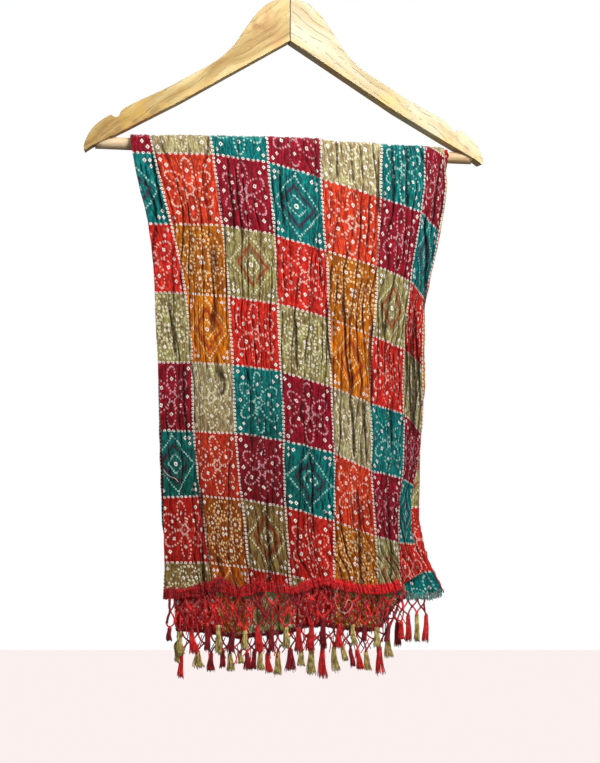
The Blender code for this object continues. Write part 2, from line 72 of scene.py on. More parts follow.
# Edges of each thickness: height, left, right.
FRONT_EDGES = [
    (-218, -175.5, 177), (-262, -168, 179), (-311, -156, 172), (-358, -150.5, 161.5), (-400, -149, 153.5),
    (-493, -145, 153.5), (-562, -142, 148.5), (-588, -141, 143.5), (-612, -140.8, 138.5),
    (-648, -140.5, 138), (-676, -140.5, 144.5), (-693, -140.6, 157), (-728, -142, 172),
]
INNER_EDGES = [
    (-218, -171, 184), (-262, -162, 176), (-311, -151, 168), (-400, -145, 154), (-520, -145.5, 150),
    (-640, -142.5, 149), (-690, -135, 160), (-703, -133.5, 167), (-724, -130.5, 178), (-768, -127, 176),
]
BACK_EDGES = [
    (-197, -175.5, 177), (-240, -168, 176), (-311, -150, 168), (-400, -144, 151), (-560, -139, 147),
    (-720, -137, 153),
]

# Hems: distance from the middle, height.
FRONT_HEM = [
    (-142, -719.5), (-133, -719.3), (-119, -718.6), (-108, -717), (-100, -719.5), (-94, -713.5),
    (-86, -712.4), (-76, -715.1), (-71, -719.4), (-58, -720.5), (-43, -719.2), (-35, -715), (-22, -716.6),
    (-11, -718), (0, -720.3), (6, -719.6), (17, -716.6), (28, -713), (38, -710.4), (44, -711.6),
    (50, -716), (60, -718.5), (72, -721), (92, -723.5), (103, -724.2), (114, -722.4), (121, -721.5),
    (128.5, -719), (131.5, -713.5), (153, -702.5), (160, -695), (180, -695),
]
INNER_HEM = [
    (-127, -755), (-101, -758), (-77, -763), (-57, -768), (-32, -765), (0, -764), (16, -758.5),
    (39, -758.5), (57, -762), (80, -766.5), (100, -766), (108, -760), (118, -744), (126, -733),
    (134, -730.5), (150, -729.5), (162, -731), (178, -727),
]

# How much the cloth stands off the bar where it is bunched: distance from the middle, height.
TOP_BUNCH = [
    (-177, -0.8), (-153, -0.4), (-136, 0.1), (-119, 1.4), (-86, 2.3), (-62, 2.6), (-22, 3.7), (18, 4.6),
    (33, 4.3), (41, 2.8), (63, 1.8), (99, 2), (107, 0.7), (151, 1.4), (177, 0),
]

# Where the checks' upright borders lie on the front: height, then the left edge, the six
# borders and the right edge, then the print's place at each edge, counted in checks.
FRONT_COLUMNS = [
    (-218, -174, -153, -88, -26, 34, 104, 154, 182, 0.65, 7.08),
    (-262, -166, -144, -82, -24, 34, 102, 153, 178, 0.63, 7.05),
    (-311, -155, -132, -76, -19, 36, 100, 146, 172, 0.6, 7.06),
    (-358, -150, -121, -71, -16, 41, 98, 138, 161, 0.44, 7.04),
    (-389, -150, -116, -69, -15, 42, 97, 135, 154, 0.32, 7.07),
    (-443, -146, -110, -66, -13, 44, 92, 130, 155, 0.25, 7.1),
    (-493, -144, -109, -64, -10, 46, 90, 128, 154, 0.23, 7.09),
    (-538, -141, -108, -62, -8, 48, 92, 130, 150, 0.3, 7.03),
    (-588, -140, -103, -58, -8, 50, 92, 129, 149, 0.2, 7),
    (-638, -139, -97, -52, -5, 49, 96, 124, 152, 0.1, 6.98),
    (-689, -139, -91, -48, -2, 49, 99, 124, 163, 0.02, 7),
    (-709, -141, -88, -48, -1, 49, 100, 126, 174, 0, 7),
]
# Heights of the checks' level borders on the front, at the left edge, at each upright border
# and at the right edge. The first row is border 0.
FRONT_ROWS = [
    (-162, -162, -161, -168, -184, -204, -213, -231),
    (-237, -237, -236, -243, -259, -279, -294, -315),
    (-313, -313, -313, -322, -339, -356, -372, -392),
    (-386, -387, -390, -398, -414, -433, -448, -467),
    (-462, -462, -465, -472, -490, -509, -521, -544),
    (-535, -537, -540, -549, -564, -585, -594, -603),
    (-609, -608, -613, -623, -640, -659, -667, -669),
    (-680, -682, -689, -700, -715, -734, -742, -744),
]
# Places across the inner fall where its upright borders lie, and the level border 6 there.
INNER_COLUMNS = [0, 0.161, 0.263, 0.425, 0.557, 0.731, 0.844, 0.862, 0.876, 1.05]
INNER_ROW = [-688, -688, -688, -690, -697, -708, -731, -760, -853, -853]

# Folds and creases, listed one by one: top x and z, bottom x and z, rise, half width. A fold
# with a negative rise is a trough.
FRONT_FOLDS = [
    (51, -219, 52, -262, -3.2, 1.5), (116, -221, 117, -284, -3.2, 1.5), (132, -225, 132, -288, -4.2, 1.7),
    (128, -230, 128, -300, 2, 3.6), (154, -296, 154, -384, -4.2, 1.7), (149, -300, 149, -380, 2.2, 4),
    (58, -390, 67, -505, -3.4, 1.5), (67, -505, 73, -568, -3.2, 1.5), (53, -395, 62, -505, 1.7, 4),
    (3, -410, 8, -476, -3, 1.5), (90, -422, 90, -512, -3, 1.4), (104, -390, 104, -437, -2.8, 1.3),
    (114, -508, 114, -558, -2.8, 1.4), (140, -405, 141, -546, -4, 1.8), (144, -412, 144, -520, -3.4, 1),
    (136, -432, 137, -534, -3, 0.9), (148, -440, 148, -512, -2.8, 0.9), (132, -415, 132, -500, -2.6, 1),
    (171, -232, 163, -300, -3.2, 1.3), (100, -232, 99, -300, -3, 1.4), (38, -395, 45, -470, -2.8, 1.3),
    (82, -500, 85, -575, -3.2, 1.4), (27, -228, 28, -270, -2.6, 1.3), (-120, -460, -116, -545, -2.8, 1.4),
    (-135, -390, -127, -460, -3, 1.5), (-152, -232, -141, -300, -2.8, 1.5),
    (-70, -235, -62, -330, -2.4, 1.4), (-12, -250, -8, -318, -2.2, 1.4),
    (-100, -600, -97, -715, -2.8, 1.5), (-28, -612, -24, -716, -3, 1.6), (22, -560, 27, -660, -2.4, 1.4),
    (76, -606, 80, -720, -3.2, 1.6), (110, -600, 116, -715, -3, 1.5), (-48, -470, -44, -560, -2.4, 1.3),
    (-88, -350, -84, -420, -2.2, 1.3), (30, -330, 34, -390, -2.4, 1.3),
]
BACK_FOLDS = [
    (-120, -240, -112, -340, -3.2, 1.5), (-64, -300, -58, -420, -3, 1.5),
    (-20, -236, -16, -300, -2.6, 1.4), (28, -380, 36, -520, -3.6, 1.6), (22, -390, 30, -510, 1.8, 4),
    (84, -260, 80, -360, -3, 1.5), (112, -420, 110, -560, -3.8, 1.7), (118, -430, 116, -550, 2, 3.8),
    (-102, -500, -98, -640, -3.2, 1.5), (-40, -560, -34, -690, -3.2, 1.6), (60, -590, 64, -695, -3, 1.5),
    (140, -240, 128, -330, -3, 1.5),
]

CRINKLE_DEPTH = 3.7
INNER_DEPTH = 3.2
PLEATS = 41
DEEPEST = -0.4  # how far a crease may reach below the smooth form

# ---- sizes of the trimming
# Height of the front band above its hem: distance from the middle, height.
FRONT_BAND_TOP = [
    (-142, 10.4), (-119, 8.5), (-108, 10.4), (-100, 14), (-94, 10.4), (-86, 10), (-80, 16), (-70, 16),
    (-63, 9.6), (-58, 8.3), (-50, 10.8), (-42, 14.6), (-32, 12), (-26, 9.4), (-11, 7.8), (0, 8.3),
    (9, 6.2), (17, 9.4), (28, 7.8), (38, 7.3), (44, 6.8), (50, 10.4), (72, 10), (77, 7), (92, 8.3),
    (103, 9.4), (116, 7.8), (125, 9.9), (130, 9),
]
INNER_BAND_TOP = [(0, 7)]
BAND_LEVEL = -718.0  # height at which places along the bands are measured
INNER_BAND_DROP = 2.0  # how far it reaches below the inner hem
INNER_BAND_END = 0.862  # beyond it the inner hem is frayed
FRAYED_THREADS = 150
CHAINS = 6  # rows of stitches in a band
STITCHES = 150  # in a row over the cloth's whole width
BAND_ROWS, BAND_COLUMNS = 8, 420
STEP_AHEAD = 0.002  # share of the width over which a stitch's direction is taken
PICOTS = 118  # small loops along a band's top
BAND_LIFT = 0.9
BAND_END = 0.868  # place across where the front band stops
NET_CORD = 0.74  # radius of one ply of the net's cord
TASSEL_STRANDS = 34
SHORTEST_TASSEL = 21.0
LOOSE_CORDS = 104
LOOSE_RADIUS = 0.58  # of a loose cord
FRAYED_RADIUS = 0.30
STRAY_RADIUS = 0.32
EDGE_RADIUS = 0.75
KNOT_SIZE = 1.5
GOLDEN_ANGLE = 2.399  # radians; it spreads a tassel's strands evenly

# Tassels of each fringe from the left: distance from the middle, colour, height of the tip,
# lean of the tip and fullness.
FRONT_TASSELS = [
    (-135, "wine", -767, -1, 0.8), (-124, "olive", -784, 1, 1), (-111, "red", -783, 2.5, 1.3),
    (-94, "wine", -781, 0.5, 1), (-82, "olive", -785, 1.5, 1), (-66, "wine", -784, -2, 1.2),
    (-52, "olive", -781, 0, 0.9), (-38, "red", -786, 2, 1.1), (-22, "wine", -786, -1.5, 1),
    (-6, "olive", -782, 0.5, 1.2), (8, "red", -787, 1, 1.3), (23, "red", -788, -0.5, 1.4),
    (36, "wine", -785, 1.5, 1.2), (55, "red", -786, -1, 1.2), (70, "olive", -783, 2, 0.9),
    (84, "wine", -779, -1, 0.8), (98, "olive", -786, 1, 1.2), (112, "wine", -781, -1.5, 0.9),
    (127, "red", -779, 0.5, 1.1),
]
INNER_TASSELS = [
    (-128, "olive", -793, 3, 0.9), (-122, "red", -811, -0.5, 0.8), (-104, "olive", -801, 1.5, 1.5),
    (-89, "wine", -805, -1, 1), (-76, "wine", -802, -1, 0.9), (-68, "olive", -806, 1, 1.2),
    (-57, "olive", -798, 2, 1), (-49, "wine", -806, 2, 1.4), (-41, "wine", -805, 0, 0.9),
    (-34, "olive", -807, 0, 1.2), (-26, "red", -811, 1.5, 1.2), (-14, "olive", -814, -0.5, 1.2),
    (0, "wine", -810, 0.5, 1.9), (12, "olive", -805, 1, 1.3), (24, "olive", -816, 0.5, 1.4),
    (37, "red", -821, 0, 1.3), (50, "olive", -814, 2, 1.2), (60, "olive", -802, 3, 1),
    (69, "wine", -809, 3.5, 0.8), (77, "red", -813, 5, 1.1), (87, "olive", -814, 3, 1.2),
    (103, "red", -820, 1, 1.6), (113, "olive", -801, 1, 1.4), (124, "wine", -789, 0, 1.1),
    (137, "red", -784, 0.5, 1.2), (147, "olive", -785, 1, 0.9), (158, "red", -786, 0, 1),
]

# Loose threads: depth, then the places across and up that they pass.
STRAY_THREADS = [
    (-18.2, [(53, -714), (49, -724), (50, -733), (55, -741), (61, -744), (67, -739), (69, -733),
             (65, -729), (62, -732), (60, -738)]),
    (-16.6, [(-141, -577), (-138, -582), (-133, -586), (-128, -588), (-125, -592)]),
]

# ---- sizes of the hanger
ARM_HALF_THICKNESS = 9.0
ARM_EDGE_ROUNDING = 2.0
RIGHT_ARM_SAG = 2.2
ARM_CROWN = [
    (0.15, -64), (10, -64.8), (20, -68), (29, -74), (40, -85.5), (53, -104), (64, -119.5), (82, -135.5),
    (108, -151), (133, -165.5), (153, -175.5), (172, -185), (181, -190.5),
]
ARM_NOTCH = [(184, -194), (185.3, -197.2), (188, -199.4), (191, -199.2), (194, -197.4)]
ARM_TIP = [
    (195, -197.4), (203, -202.3), (211, -209), (217, -216.5), (221, -224.5), (223, -231.5),
    (221.8, -235.8),
]
ARM_UNDERSIDE = [(214, -230.5), (198, -222), (178, -211.5), (120, -180), (0.15, -109.5)]
WIRE_RADIUS = 1.75
HOOK_BEND = 21.75
HOOK_CENTRE_Z = -20.0
HOOK_TIP_ANGLE = 205.0
HOOK_NECK_ANGLE = -50.0
NECK_BEND = 12.0
SHANK_END_Z = -78.0
ARM_SLOPE = math.radians(34.0)  # of the grain
UNDERSIDE_TOP = 110.6  # how far below the crown's inside the arms' undersides meet
UNDERSIDE_SLOPE = 0.566  # rise over run
UNDERSIDE_ACROSS = 0.870  # cosine of the undersides' slope
GROWTH_GAP = 0.0082  # metres between growth lines

# ---- room and camera, in metres
CAMERA_PLACE = np.array([-0.2037, -1.1794, -0.4379])
CAMERA_YAW = math.radians(10.39)
CAMERA_PITCH = math.radians(-2.21)
FOCAL_LENGTH = 50.51  # millimetres, on a sensor 36 wide
BACKDROP_AWAY = 3.4
FLOOR_Z = -1.431
SKY_STRENGTH = 0.57
# Lights: name, place, target, power and size.
LIGHTS = [
    ("key", (0.60, -0.85, 0.50), (0.05, 0.0, -0.35), 25.5, 0.6),
    ("fill", (-1.2, -1.9, 0.5), (0.0, 0.0, -0.30), 5.5, 1.4),
    ("rear", (0.9, 1.9, 0.7), (0.0, 0.0, -0.4), 36.0, 1.2),
    ("bounce", (0.9, -1.0, -1.15), (0.05, 0.0, -0.72), 4.2, 0.7),
]


# ---- numbers over a surface
def read_table(rows, key, column=1):
    """Values of a table's column at the keys, straight between rows sorted by their first."""
    rows = np.array(sorted(rows), float)
    return np.interp(key, rows[:, 0], rows[:, column])


def between(start, end, share):
    return start + (end - start) * share


def smooth_step(start, end, value):
    share = np.clip((value - start) / (end - start), 0.0, 1.0)
    return share * share * (3.0 - 2.0 * share)


def noise(x, y, seed):
    """Smooth noise from 0 to 1 over a plane, about one hill a unit."""
    x, y = np.broadcast_arrays(np.asarray(x, float), np.asarray(y, float))
    left, low = np.floor(x), np.floor(y)
    across, up = x - left, y - low
    across = across * across * (3.0 - 2.0 * across)
    up = up * up * (3.0 - 2.0 * up)

    def corner(right, top):
        value = np.sin((left + right) * 127.1 + (low + top) * 311.7 + seed * 74.7) * 43758.5453
        return value - np.floor(value)

    bottom = corner(0, 0) * (1.0 - across) + corner(1, 0) * across
    upper = corner(0, 1) * (1.0 - across) + corner(1, 1) * across
    return bottom * (1.0 - up) + upper * up


def chances(step, count, seed):
    """Numbers from 0 to 1, the same on each run, from a place in the noise and a seed."""
    return (float(noise(step, 0.5 + salt, seed)) for salt in range(count))


def crease_lines(phase, run, seed, width, length, more=0.0):
    """1 in sharp creases that run along the cloth at whole phases, each fading in and out."""
    line = np.round(phase)
    depth = smooth_step(0.18, 0.62, noise(line * 5.3, run / length, seed) + more)
    return depth * np.exp(-(np.abs(phase - line) / width) ** 1.3)


def crumple(across, run, slant, seed):
    """Sharp slanting valleys between facets, 0 in a valley and near 1 between."""
    return np.abs(2.0 * noise((across + slant * run) / 4.6, run / 17.0, seed) - 1.0)


def crinkle(place, run, seed):
    """Height of the crinkle, 0 in a crease and near 1 on a crest; pleats merge and part."""
    across = place * FLAT_WIDTH
    wander = noise(place * 9.0, run / 95.0, seed) + 0.45 * noise(place * 25.0, run / 32.0, seed + 1)
    uneven = 2.2 * noise(place * PLEATS * 0.4, 0.5, seed + 2)
    phase = place * PLEATS + uneven + 1.5 * wander
    deep = crease_lines(phase, run, seed + 3, 0.15, 120.0, 0.14 * smooth_step(0.3, 0.8, place))
    close = crease_lines(1.9 * phase + 2.0 * wander, run, seed + 4, 0.16, 36.0)
    crown = np.abs(2.0 * (phase - np.floor(phase)) - 1.0)
    fine = crumple(across, run, 0.42, seed + 5) + crumple(across, run, -0.36, seed + 6)
    tiny = noise(across / 1.7, run / 6.5, seed + 7)
    height = 0.66 + 0.28 * crown + 0.26 * (fine - 1.0) + 0.10 * tiny - 0.80 * deep - 0.30 * close
    return np.clip(height, 0.0, 1.15)


def hand_folds(folds, x, z):
    """Height that the listed folds add at each point."""
    height = np.zeros_like(x)
    for top_x, top_z, low_x, low_z, rise, half_width in folds:
        share = np.clip((top_z - z) / (top_z - low_z), 0.0, 1.0)
        middle = top_x + share * (low_x - top_x) + 0.8 * np.sin(z / 13.0 + top_x)
        faded = 1.0 - smooth_step(top_z - 14.0, top_z + 8.0, z)
        ends = smooth_step(low_z - 8.0, low_z + 14.0, z) * faded
        height += rise * np.exp(-((x - middle) / half_width) ** 2) * ends
    return height


def bar_height(x):
    return BAR_Z - BAR_TILT * x


def off_bar(drop):
    """0 on the bar and 1 where the cloth hangs free."""
    return smooth_step(0.0, EASE_BELOW_BAR, drop)


def across_fall(edges, place, z):
    return between(read_table(edges, z, 1), read_table(edges, z, 2), place)


# ---- the cloth's form
class Fall:
    """A front thickness of the stole: over the bar from its rear, then down to a hem."""

    def __init__(self, edges, hem, folds, wrap, free, depth, swell, seed, bunch=0.0):
        self.edges, self.hem, self.folds = edges, hem, folds
        self.wrap, self.free, self.depth, self.swell, self.seed = wrap, free, depth, swell, seed
        self.bunch = bunch
        self.over_bar = math.pi * wrap

    def length(self, place):
        """Distance from the rear of the bar to the hem."""
        z = np.full_like(place, HEM_LEVEL)
        for _ in range(12):
            x = across_fall(self.edges, place, z)
            z = read_table(self.hem, x)
        return self.over_bar + bar_height(x) - z

    def creased(self, place, run, x, folds_height, share, ease, lift=0.0):
        """Places moved by the lean, heights off the smooth form and heights in crinkle depths."""
        height = np.maximum(self.depth * crinkle(place, run, self.seed) + folds_height, DEEPEST)
        rise = height / self.depth
        height = height * share + lift
        lean = 1.5 * (noise(place * 5.0, run / 110.0, self.seed + 8) - 0.5) * ease
        return x + lean * height * smooth_step(0.0, 0.01, np.minimum(place, 1.0 - place)), height, rise

    def points(self, place, run, lift=0.0):
        """Points, crinkle heights and print heights at places across and distances run."""
        drop = np.maximum(run - self.over_bar, 0.0)
        x = across_fall(self.edges, place, BAR_Z - drop)
        axis = bar_height(x)
        z = axis - drop
        ease = off_bar(drop)
        folds_height = hand_folds(self.folds, x, z)
        x, height, rise = self.creased(
            place, run, x, folds_height, between(WRAP_SHARE, 1.0, ease), ease, lift)
        x = x + 0.9 * (noise(place * 2.0, run / 14.0, self.seed + 9) - 0.5) * ease
        angle = np.minimum(run / self.wrap, math.pi)
        radius = self.wrap + ease * (self.free - self.wrap) + height
        radius += self.bunch * read_table(TOP_BUNCH, x) * np.sin(angle) ** 2
        broad = self.swell * ease * (noise(place * 3.2, run / 170.0, self.seed + 10) - 0.35)
        y = np.where(run < self.over_bar, radius * np.cos(angle), -radius - broad)
        z = np.where(run < self.over_bar, axis + radius * np.sin(angle), z)
        return np.stack([x, y, z], -1), rise, axis + self.over_bar - run

    def grid(self, columns, rows, wrap_rows):
        """Places across and distances run of a whole sheet."""
        place = np.linspace(0.0, 1.0, columns)
        wrap = np.linspace(0.0, self.over_bar, wrap_rows, endpoint=False)
        drop = np.linspace(0.0, 1.0, rows)
        run = np.vstack([np.repeat(wrap[:, None], columns, 1),
                         self.over_bar + drop[:, None] * (self.length(place) - self.over_bar)[None, :]])
        return np.broadcast_to(place, run.shape), run


front_fall = Fall(
    FRONT_EDGES, FRONT_HEM, FRONT_FOLDS, OUTER_WRAP, OUTER_FREE, CRINKLE_DEPTH,
    swell=1.3, seed=11, bunch=1.0)
inner_fall = Fall(
    INNER_EDGES, INNER_HEM, [], INNER_WRAP, INNER_FREE, INNER_DEPTH, swell=0.5, seed=31)


def along(row_points):
    """Distance along one row of points, from its left end."""
    steps = np.linalg.norm(np.diff(row_points, axis=0), axis=1)
    return np.concatenate([[0.0], np.cumsum(steps)])


def front_print(points, print_z):
    """Print places, counted in checks: across and down."""
    across = np.zeros(print_z.shape)
    down = np.zeros(print_z.shape)
    for i, row in enumerate(points):
        z = row[:, 2].mean()
        *lines, first_mark, last_mark = [read_table(FRONT_COLUMNS, z, column) for column in range(1, 11)]
        lines[0], lines[-1] = row[0, 0], row[-1, 0]
        marks = [first_mark, 1, 2, 3, 4, 5, 6, last_mark]
        travelled = along(row)
        order = np.maximum.accumulate(row[:, 0])
        across[i] = np.interp(travelled, np.interp(lines, order, travelled), marks)
        borders = [np.interp(across[i], range(8), border) for border in FRONT_ROWS]
        down[i] = -np.maximum(print_z[i] - borders[0], 0.0) / CELL
        for upper, lower in zip(borders, borders[1:]):
            down[i] += np.clip((upper - print_z[i]) / (upper - lower), 0.0, 1.0)
        down[i] += np.maximum(borders[-1] - print_z[i], 0.0) / CELL
    return across, down


def plain_print(points, print_z, columns, marks, border, number):
    """Print places of a plainer thickness, from its borders' places across and one level."""
    across = np.zeros(print_z.shape)
    for i, row in enumerate(points):
        travelled = along(row)
        across[i] = np.interp(travelled / travelled[-1], columns, marks)
    level = np.interp(across, np.arange(len(border)), border)
    return across, number + (level - print_z) / CELL


def back_stations():
    """The loop behind the bar: y, z, outward y and z, depth share, distance run."""
    stations = []
    straight = BAR_Z - BACK_FOLD_Z - FOLD_RADIUS
    for drop in [*np.linspace(0.0, EASE_BELOW_BAR, 16, endpoint=False),
                 *np.linspace(EASE_BELOW_BAR, straight, 136)]:
        ease = off_bar(drop)
        stations.append((between(OUTER_WRAP, BACK_FREE, ease), BAR_Z - drop, 1.0, 0.0,
                         between(WRAP_SHARE, 1.0, ease), -drop))
    loop_top, run = stations[-1][1], stations[-1][5]
    middle = (BACK_FREE + BACK_INNER) / 2.0
    half = (BACK_FREE - BACK_INNER) / 2.0
    for degrees in np.linspace(0.0, -180.0, 14)[1:-1]:
        angle = math.radians(degrees)
        out_y, out_z = math.cos(angle), math.sin(angle)
        stations.append((middle + (half + FOLD_BULGE * -out_z) * out_y, loop_top + FOLD_RADIUS * out_z,
                         out_y, out_z, 0.9, run + FOLD_RADIUS * degrees / 60.0))
    run -= 3.0 * FOLD_RADIUS
    for height in np.linspace(0.0, BAR_Z - loop_top, 44):
        z = loop_top + height
        ease = off_bar(BAR_Z - z)
        stations.append((BACK_INNER - 0.1 * ease, z, -1.0, 0.0, 0.2 + 0.7 * ease, run - height))
    return np.array(stations, float)


def back_points(place, stations):
    y, z, out_y, out_z, share, run = (stations[:, i][:, None] for i in range(6))
    place = np.broadcast_to(place, (len(stations), len(place)))
    outside = np.clip(out_y, 0.0, 1.0)
    x = across_fall(BACK_EDGES, place, np.broadcast_to(z, place.shape))
    folds_height = outside * hand_folds(BACK_FOLDS, x, z + 0.0 * x)
    free = off_bar(-run) * outside
    x, height, rise = front_fall.creased(place, run, x, folds_height, share, free)
    broad = 1.2 * free * (noise(place * 3.2, run / 170.0, 47) - 0.35)
    tilt = BAR_TILT * x * smooth_step(BAR_Z - EASE_BELOW_BAR, BAR_Z - 5.0, z)
    points = np.stack([x, y + out_y * (height + broad), z + out_z * height - tilt], -1)
    return points, rise, BAR_Z - tilt + front_fall.over_bar - run


# ---- meshes
def add_object(name, data):
    thing = bpy.data.objects.new(name, data)
    bpy.context.scene.collection.objects.link(thing)
    return thing


def add_piece(name, points, faces, materials, kinds=None):
    """One smooth mesh in metres that rides on the part's body."""
    mesh = bpy.data.meshes.new(name)
    mesh.from_pydata((np.asarray(points) * MM).tolist(), [], faces)
    for material in materials:
        mesh.materials.append(material)
    if kinds is not None:
        mesh.polygons.foreach_set("material_index", np.asarray(kinds, np.int32))
    mesh.polygons.foreach_set("use_smooth", np.full(len(mesh.polygons), True))
    mesh.update()
    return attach(add_object(name, mesh), "root")


def grid_faces(rows, columns):
    start = np.arange(rows - 1)[:, None] * columns + np.arange(columns - 1)[None, :]
    start = start.ravel()
    return np.stack([start, start + columns, start + columns + 1, start + 1], 1).tolist()


def add_cloth(name, points, across, down, rise):
    """A sheet of the printed silk with its print places, its crinkle heights for the painted crease shade,
    and a map that lays it flat.
    """
    rows, columns = across.shape
    piece = add_piece(name, points.reshape(-1, 3), grid_faces(rows, columns), [silk])
    mesh = piece.data
    spots = np.stack([across, down, rise], -1).astype(np.float32)
    mesh.attributes.new("print", "FLOAT_VECTOR", "POINT").data.foreach_set("vector", spots.ravel())
    low, high = 0.002, 0.998
    flat = np.stack(np.meshgrid(np.linspace(low, high, columns), np.linspace(high, low, rows)), -1)
    corners = np.zeros(len(mesh.loops), np.int32)
    mesh.loops.foreach_get("vertex_index", corners)
    layer = mesh.uv_layers.new(name="OFBake")
    layer.uv.foreach_set("vector", flat.reshape(-1, 2)[corners].astype(np.float32).ravel())
    return piece


def ring_pairs(sides):
    """Each corner of a ring with the next one round it."""
    return [(corner, (corner + 1) % sides) for corner in range(sides)]


class Bundle:
    """Many small tubes and beads, gathered into one mesh with a material for each kind."""

    def __init__(self):
        self.points, self.faces, self.kinds, self.count = [], [], [], 0

    def add(self, points, faces, kind=0):
        self.points.append(points)
        self.faces += [[corner + self.count for corner in face] for face in faces]
        self.kinds += [kind] * len(faces)
        self.count += len(points)

    def tube(self, path, radius, sides, kind=0):
        """A closed tube along a path; radius may be one number or one for each point."""
        path = np.asarray(path, float)
        radius = np.broadcast_to(radius, len(path))
        tangent = np.gradient(path, axis=0)
        tangent /= np.linalg.norm(tangent, axis=1)[:, None] + 1e-9
        side = np.cross(tangent, [0.13, 1.0, 0.07])
        side /= np.linalg.norm(side, axis=1)[:, None] + 1e-9
        other = np.cross(tangent, side)
        angle = np.arange(sides) * 2.0 * math.pi / sides
        ring = (np.cos(angle)[None, :, None] * side[:, None, :]
                + np.sin(angle)[None, :, None] * other[:, None, :])
        points = path[:, None, :] + radius[:, None, None] * ring
        last = (len(path) - 1) * sides
        faces = [[a + j, a + k, a + sides + k, a + sides + j]
                 for a in range(0, last, sides) for j, k in ring_pairs(sides)]
        faces += [list(range(sides))[::-1], list(range(last, last + sides))]
        self.add(points.reshape(-1, 3), faces, kind)

    def bead(self, centre, long, wide, deep, rings, sides, kind=0):
        """A rounded grain with three half axes, given as vectors."""
        centre, long, wide, deep = (np.asarray(vector, float) for vector in (centre, long, wide, deep))
        points = [centre - long]
        for i in range(1, rings):
            polar = math.pi * i / rings
            for j in range(sides):
                turn = 2.0 * math.pi * j / sides
                points.append(centre - long * math.cos(polar)
                              + (wide * math.cos(turn) + deep * math.sin(turn)) * math.sin(polar))
        points.append(centre + long)
        top = len(points) - 1
        faces = []
        for j, k in ring_pairs(sides):
            faces.append([0, 1 + k, 1 + j])
            faces += [[a + j, a + k, a + sides + k, a + sides + j] for a in range(1, top - sides, sides)]
            faces.append([top - sides + j, top - sides + k, top])
        self.add(np.array(points), faces, kind)

    def piece(self, name, *materials):
        return add_piece(name, np.vstack(self.points), self.faces, materials, self.kinds)


# ---- materials
def tone(red, green, blue):
    """A colour as seen, from 0 to 255, as the shader wants it."""
    linear = [(c / 255.0 / 12.92 if c < 10.3 else ((c / 255.0 + 0.055) / 1.055) ** 2.4)
              for c in (red, green, blue)]
    return (*linear, 1.0)


def new_material(name, **sockets):
    """A material and its Principled shader, whose even values are set on the shader itself."""
    material = bpy.data.materials.new(name)
    material.use_nodes = True
    shader = material.node_tree.nodes["Principled BSDF"]
    for socket, value in sockets.items():
        shader.inputs[socket.replace("_", " ")].default_value = value
    return material, shader


def feed(socket, value):
    """Link a field or another socket to a socket, or set it to a plain value."""
    value = getattr(value, "socket", value)
    if isinstance(value, bpy.types.NodeSocket):
        socket.id_data.links.new(value, socket)
    else:
        socket.default_value = value


def add_node(kind, inputs, **settings):
    """A node in the tree of the fields or sockets among its inputs, with its settings."""
    sockets = [getattr(value, "socket", value) for value in inputs.values()]
    tree = next(socket.id_data for socket in sockets if isinstance(socket, bpy.types.NodeSocket))
    node = tree.nodes.new("ShaderNode" + kind)
    for name, value in settings.items():
        setattr(node, name, value)
    for key, value in inputs.items():
        feed(node.inputs[key], value)
    return node


def node_method(operation):
    return lambda self, *others: self.math(operation, *others)


class Field:
    """A number that varies over a surface. Arithmetic on it adds Math nodes."""

    def __init__(self, socket):
        self.socket = socket

    def math(self, operation, *others):
        return Field(add_node("Math", dict(enumerate((self, *others))), operation=operation).outputs[0])

    __add__ = __radd__ = node_method("ADD")
    __mul__ = __rmul__ = node_method("MULTIPLY")
    __sub__ = node_method("SUBTRACT")
    __truediv__ = node_method("DIVIDE")
    size = node_method("ABSOLUTE")
    least = node_method("MINIMUM")
    most = node_method("MAXIMUM")

    def __rsub__(self, other):
        return self * -1.0 + other

    def nearest(self, step):
        """The nearest whole number of steps."""
        return (self / step).math("ROUND") * step

    def fades(self, full, none):
        """1 at full, 0 at none, smooth between."""
        node = add_node("MapRange", {
            "Value": self, "From Min": min(full, none), "From Max": max(full, none),
            "To Min": float(full < none), "To Max": float(full > none),
        }, interpolation_type="SMOOTHSTEP")
        return Field(node.outputs["Result"])


def reach(x, y):
    """Length of the vector x, y."""
    return (x * x + y * y).math("SQRT")


def split(socket):
    return [Field(output) for output in add_node("SeparateXYZ", {0: socket}).outputs]


def object_place(shader):
    """Metres along X, Y and Z, as fields."""
    return split(shader.id_data.nodes.new("ShaderNodeTexCoord").outputs["Object"])


def noise_node(place, scale=1.0, detail=2.0, roughness=0.5, distortion=0.0):
    """Noise at a place given by three fields or numbers."""
    joined = add_node("CombineXYZ", dict(enumerate(place)))
    return add_node("TexNoise", {"Vector": joined.outputs[0], "Scale": scale, "Detail": detail,
                                 "Roughness": roughness, "Distortion": distortion})


def texture_noise(place, scale=1.0, **settings):
    return Field(noise_node(place, scale, **settings).outputs[0])


def chart(field, colours, interpolation="CONSTANT"):
    """Colours over a field from 0 to 1: one for each equal step, or LINEAR between them."""
    node = add_node("ValToRGB", {0: field})
    node.color_ramp.interpolation = interpolation
    stops = node.color_ramp.elements
    last = len(colours) - (interpolation != "CONSTANT")
    for i, colour in enumerate(colours):
        stop = stops[i] if i < 2 else stops.new(i / last)
        stop.position = i / last
        stop.color = colour
    return node.outputs[0]


def blend_colour(share, first, second, kind="MIX"):
    sockets = {0: share, 6: first, 7: second}
    return add_node("Mix", sockets, data_type="RGBA", blend_type=kind).outputs[2]


def raise_surface(shader, height, strength, distance):
    bump = add_node("Bump", {"Strength": strength, "Distance": distance, "Height": height})
    feed(shader.inputs["Normal"], bump.outputs[0])
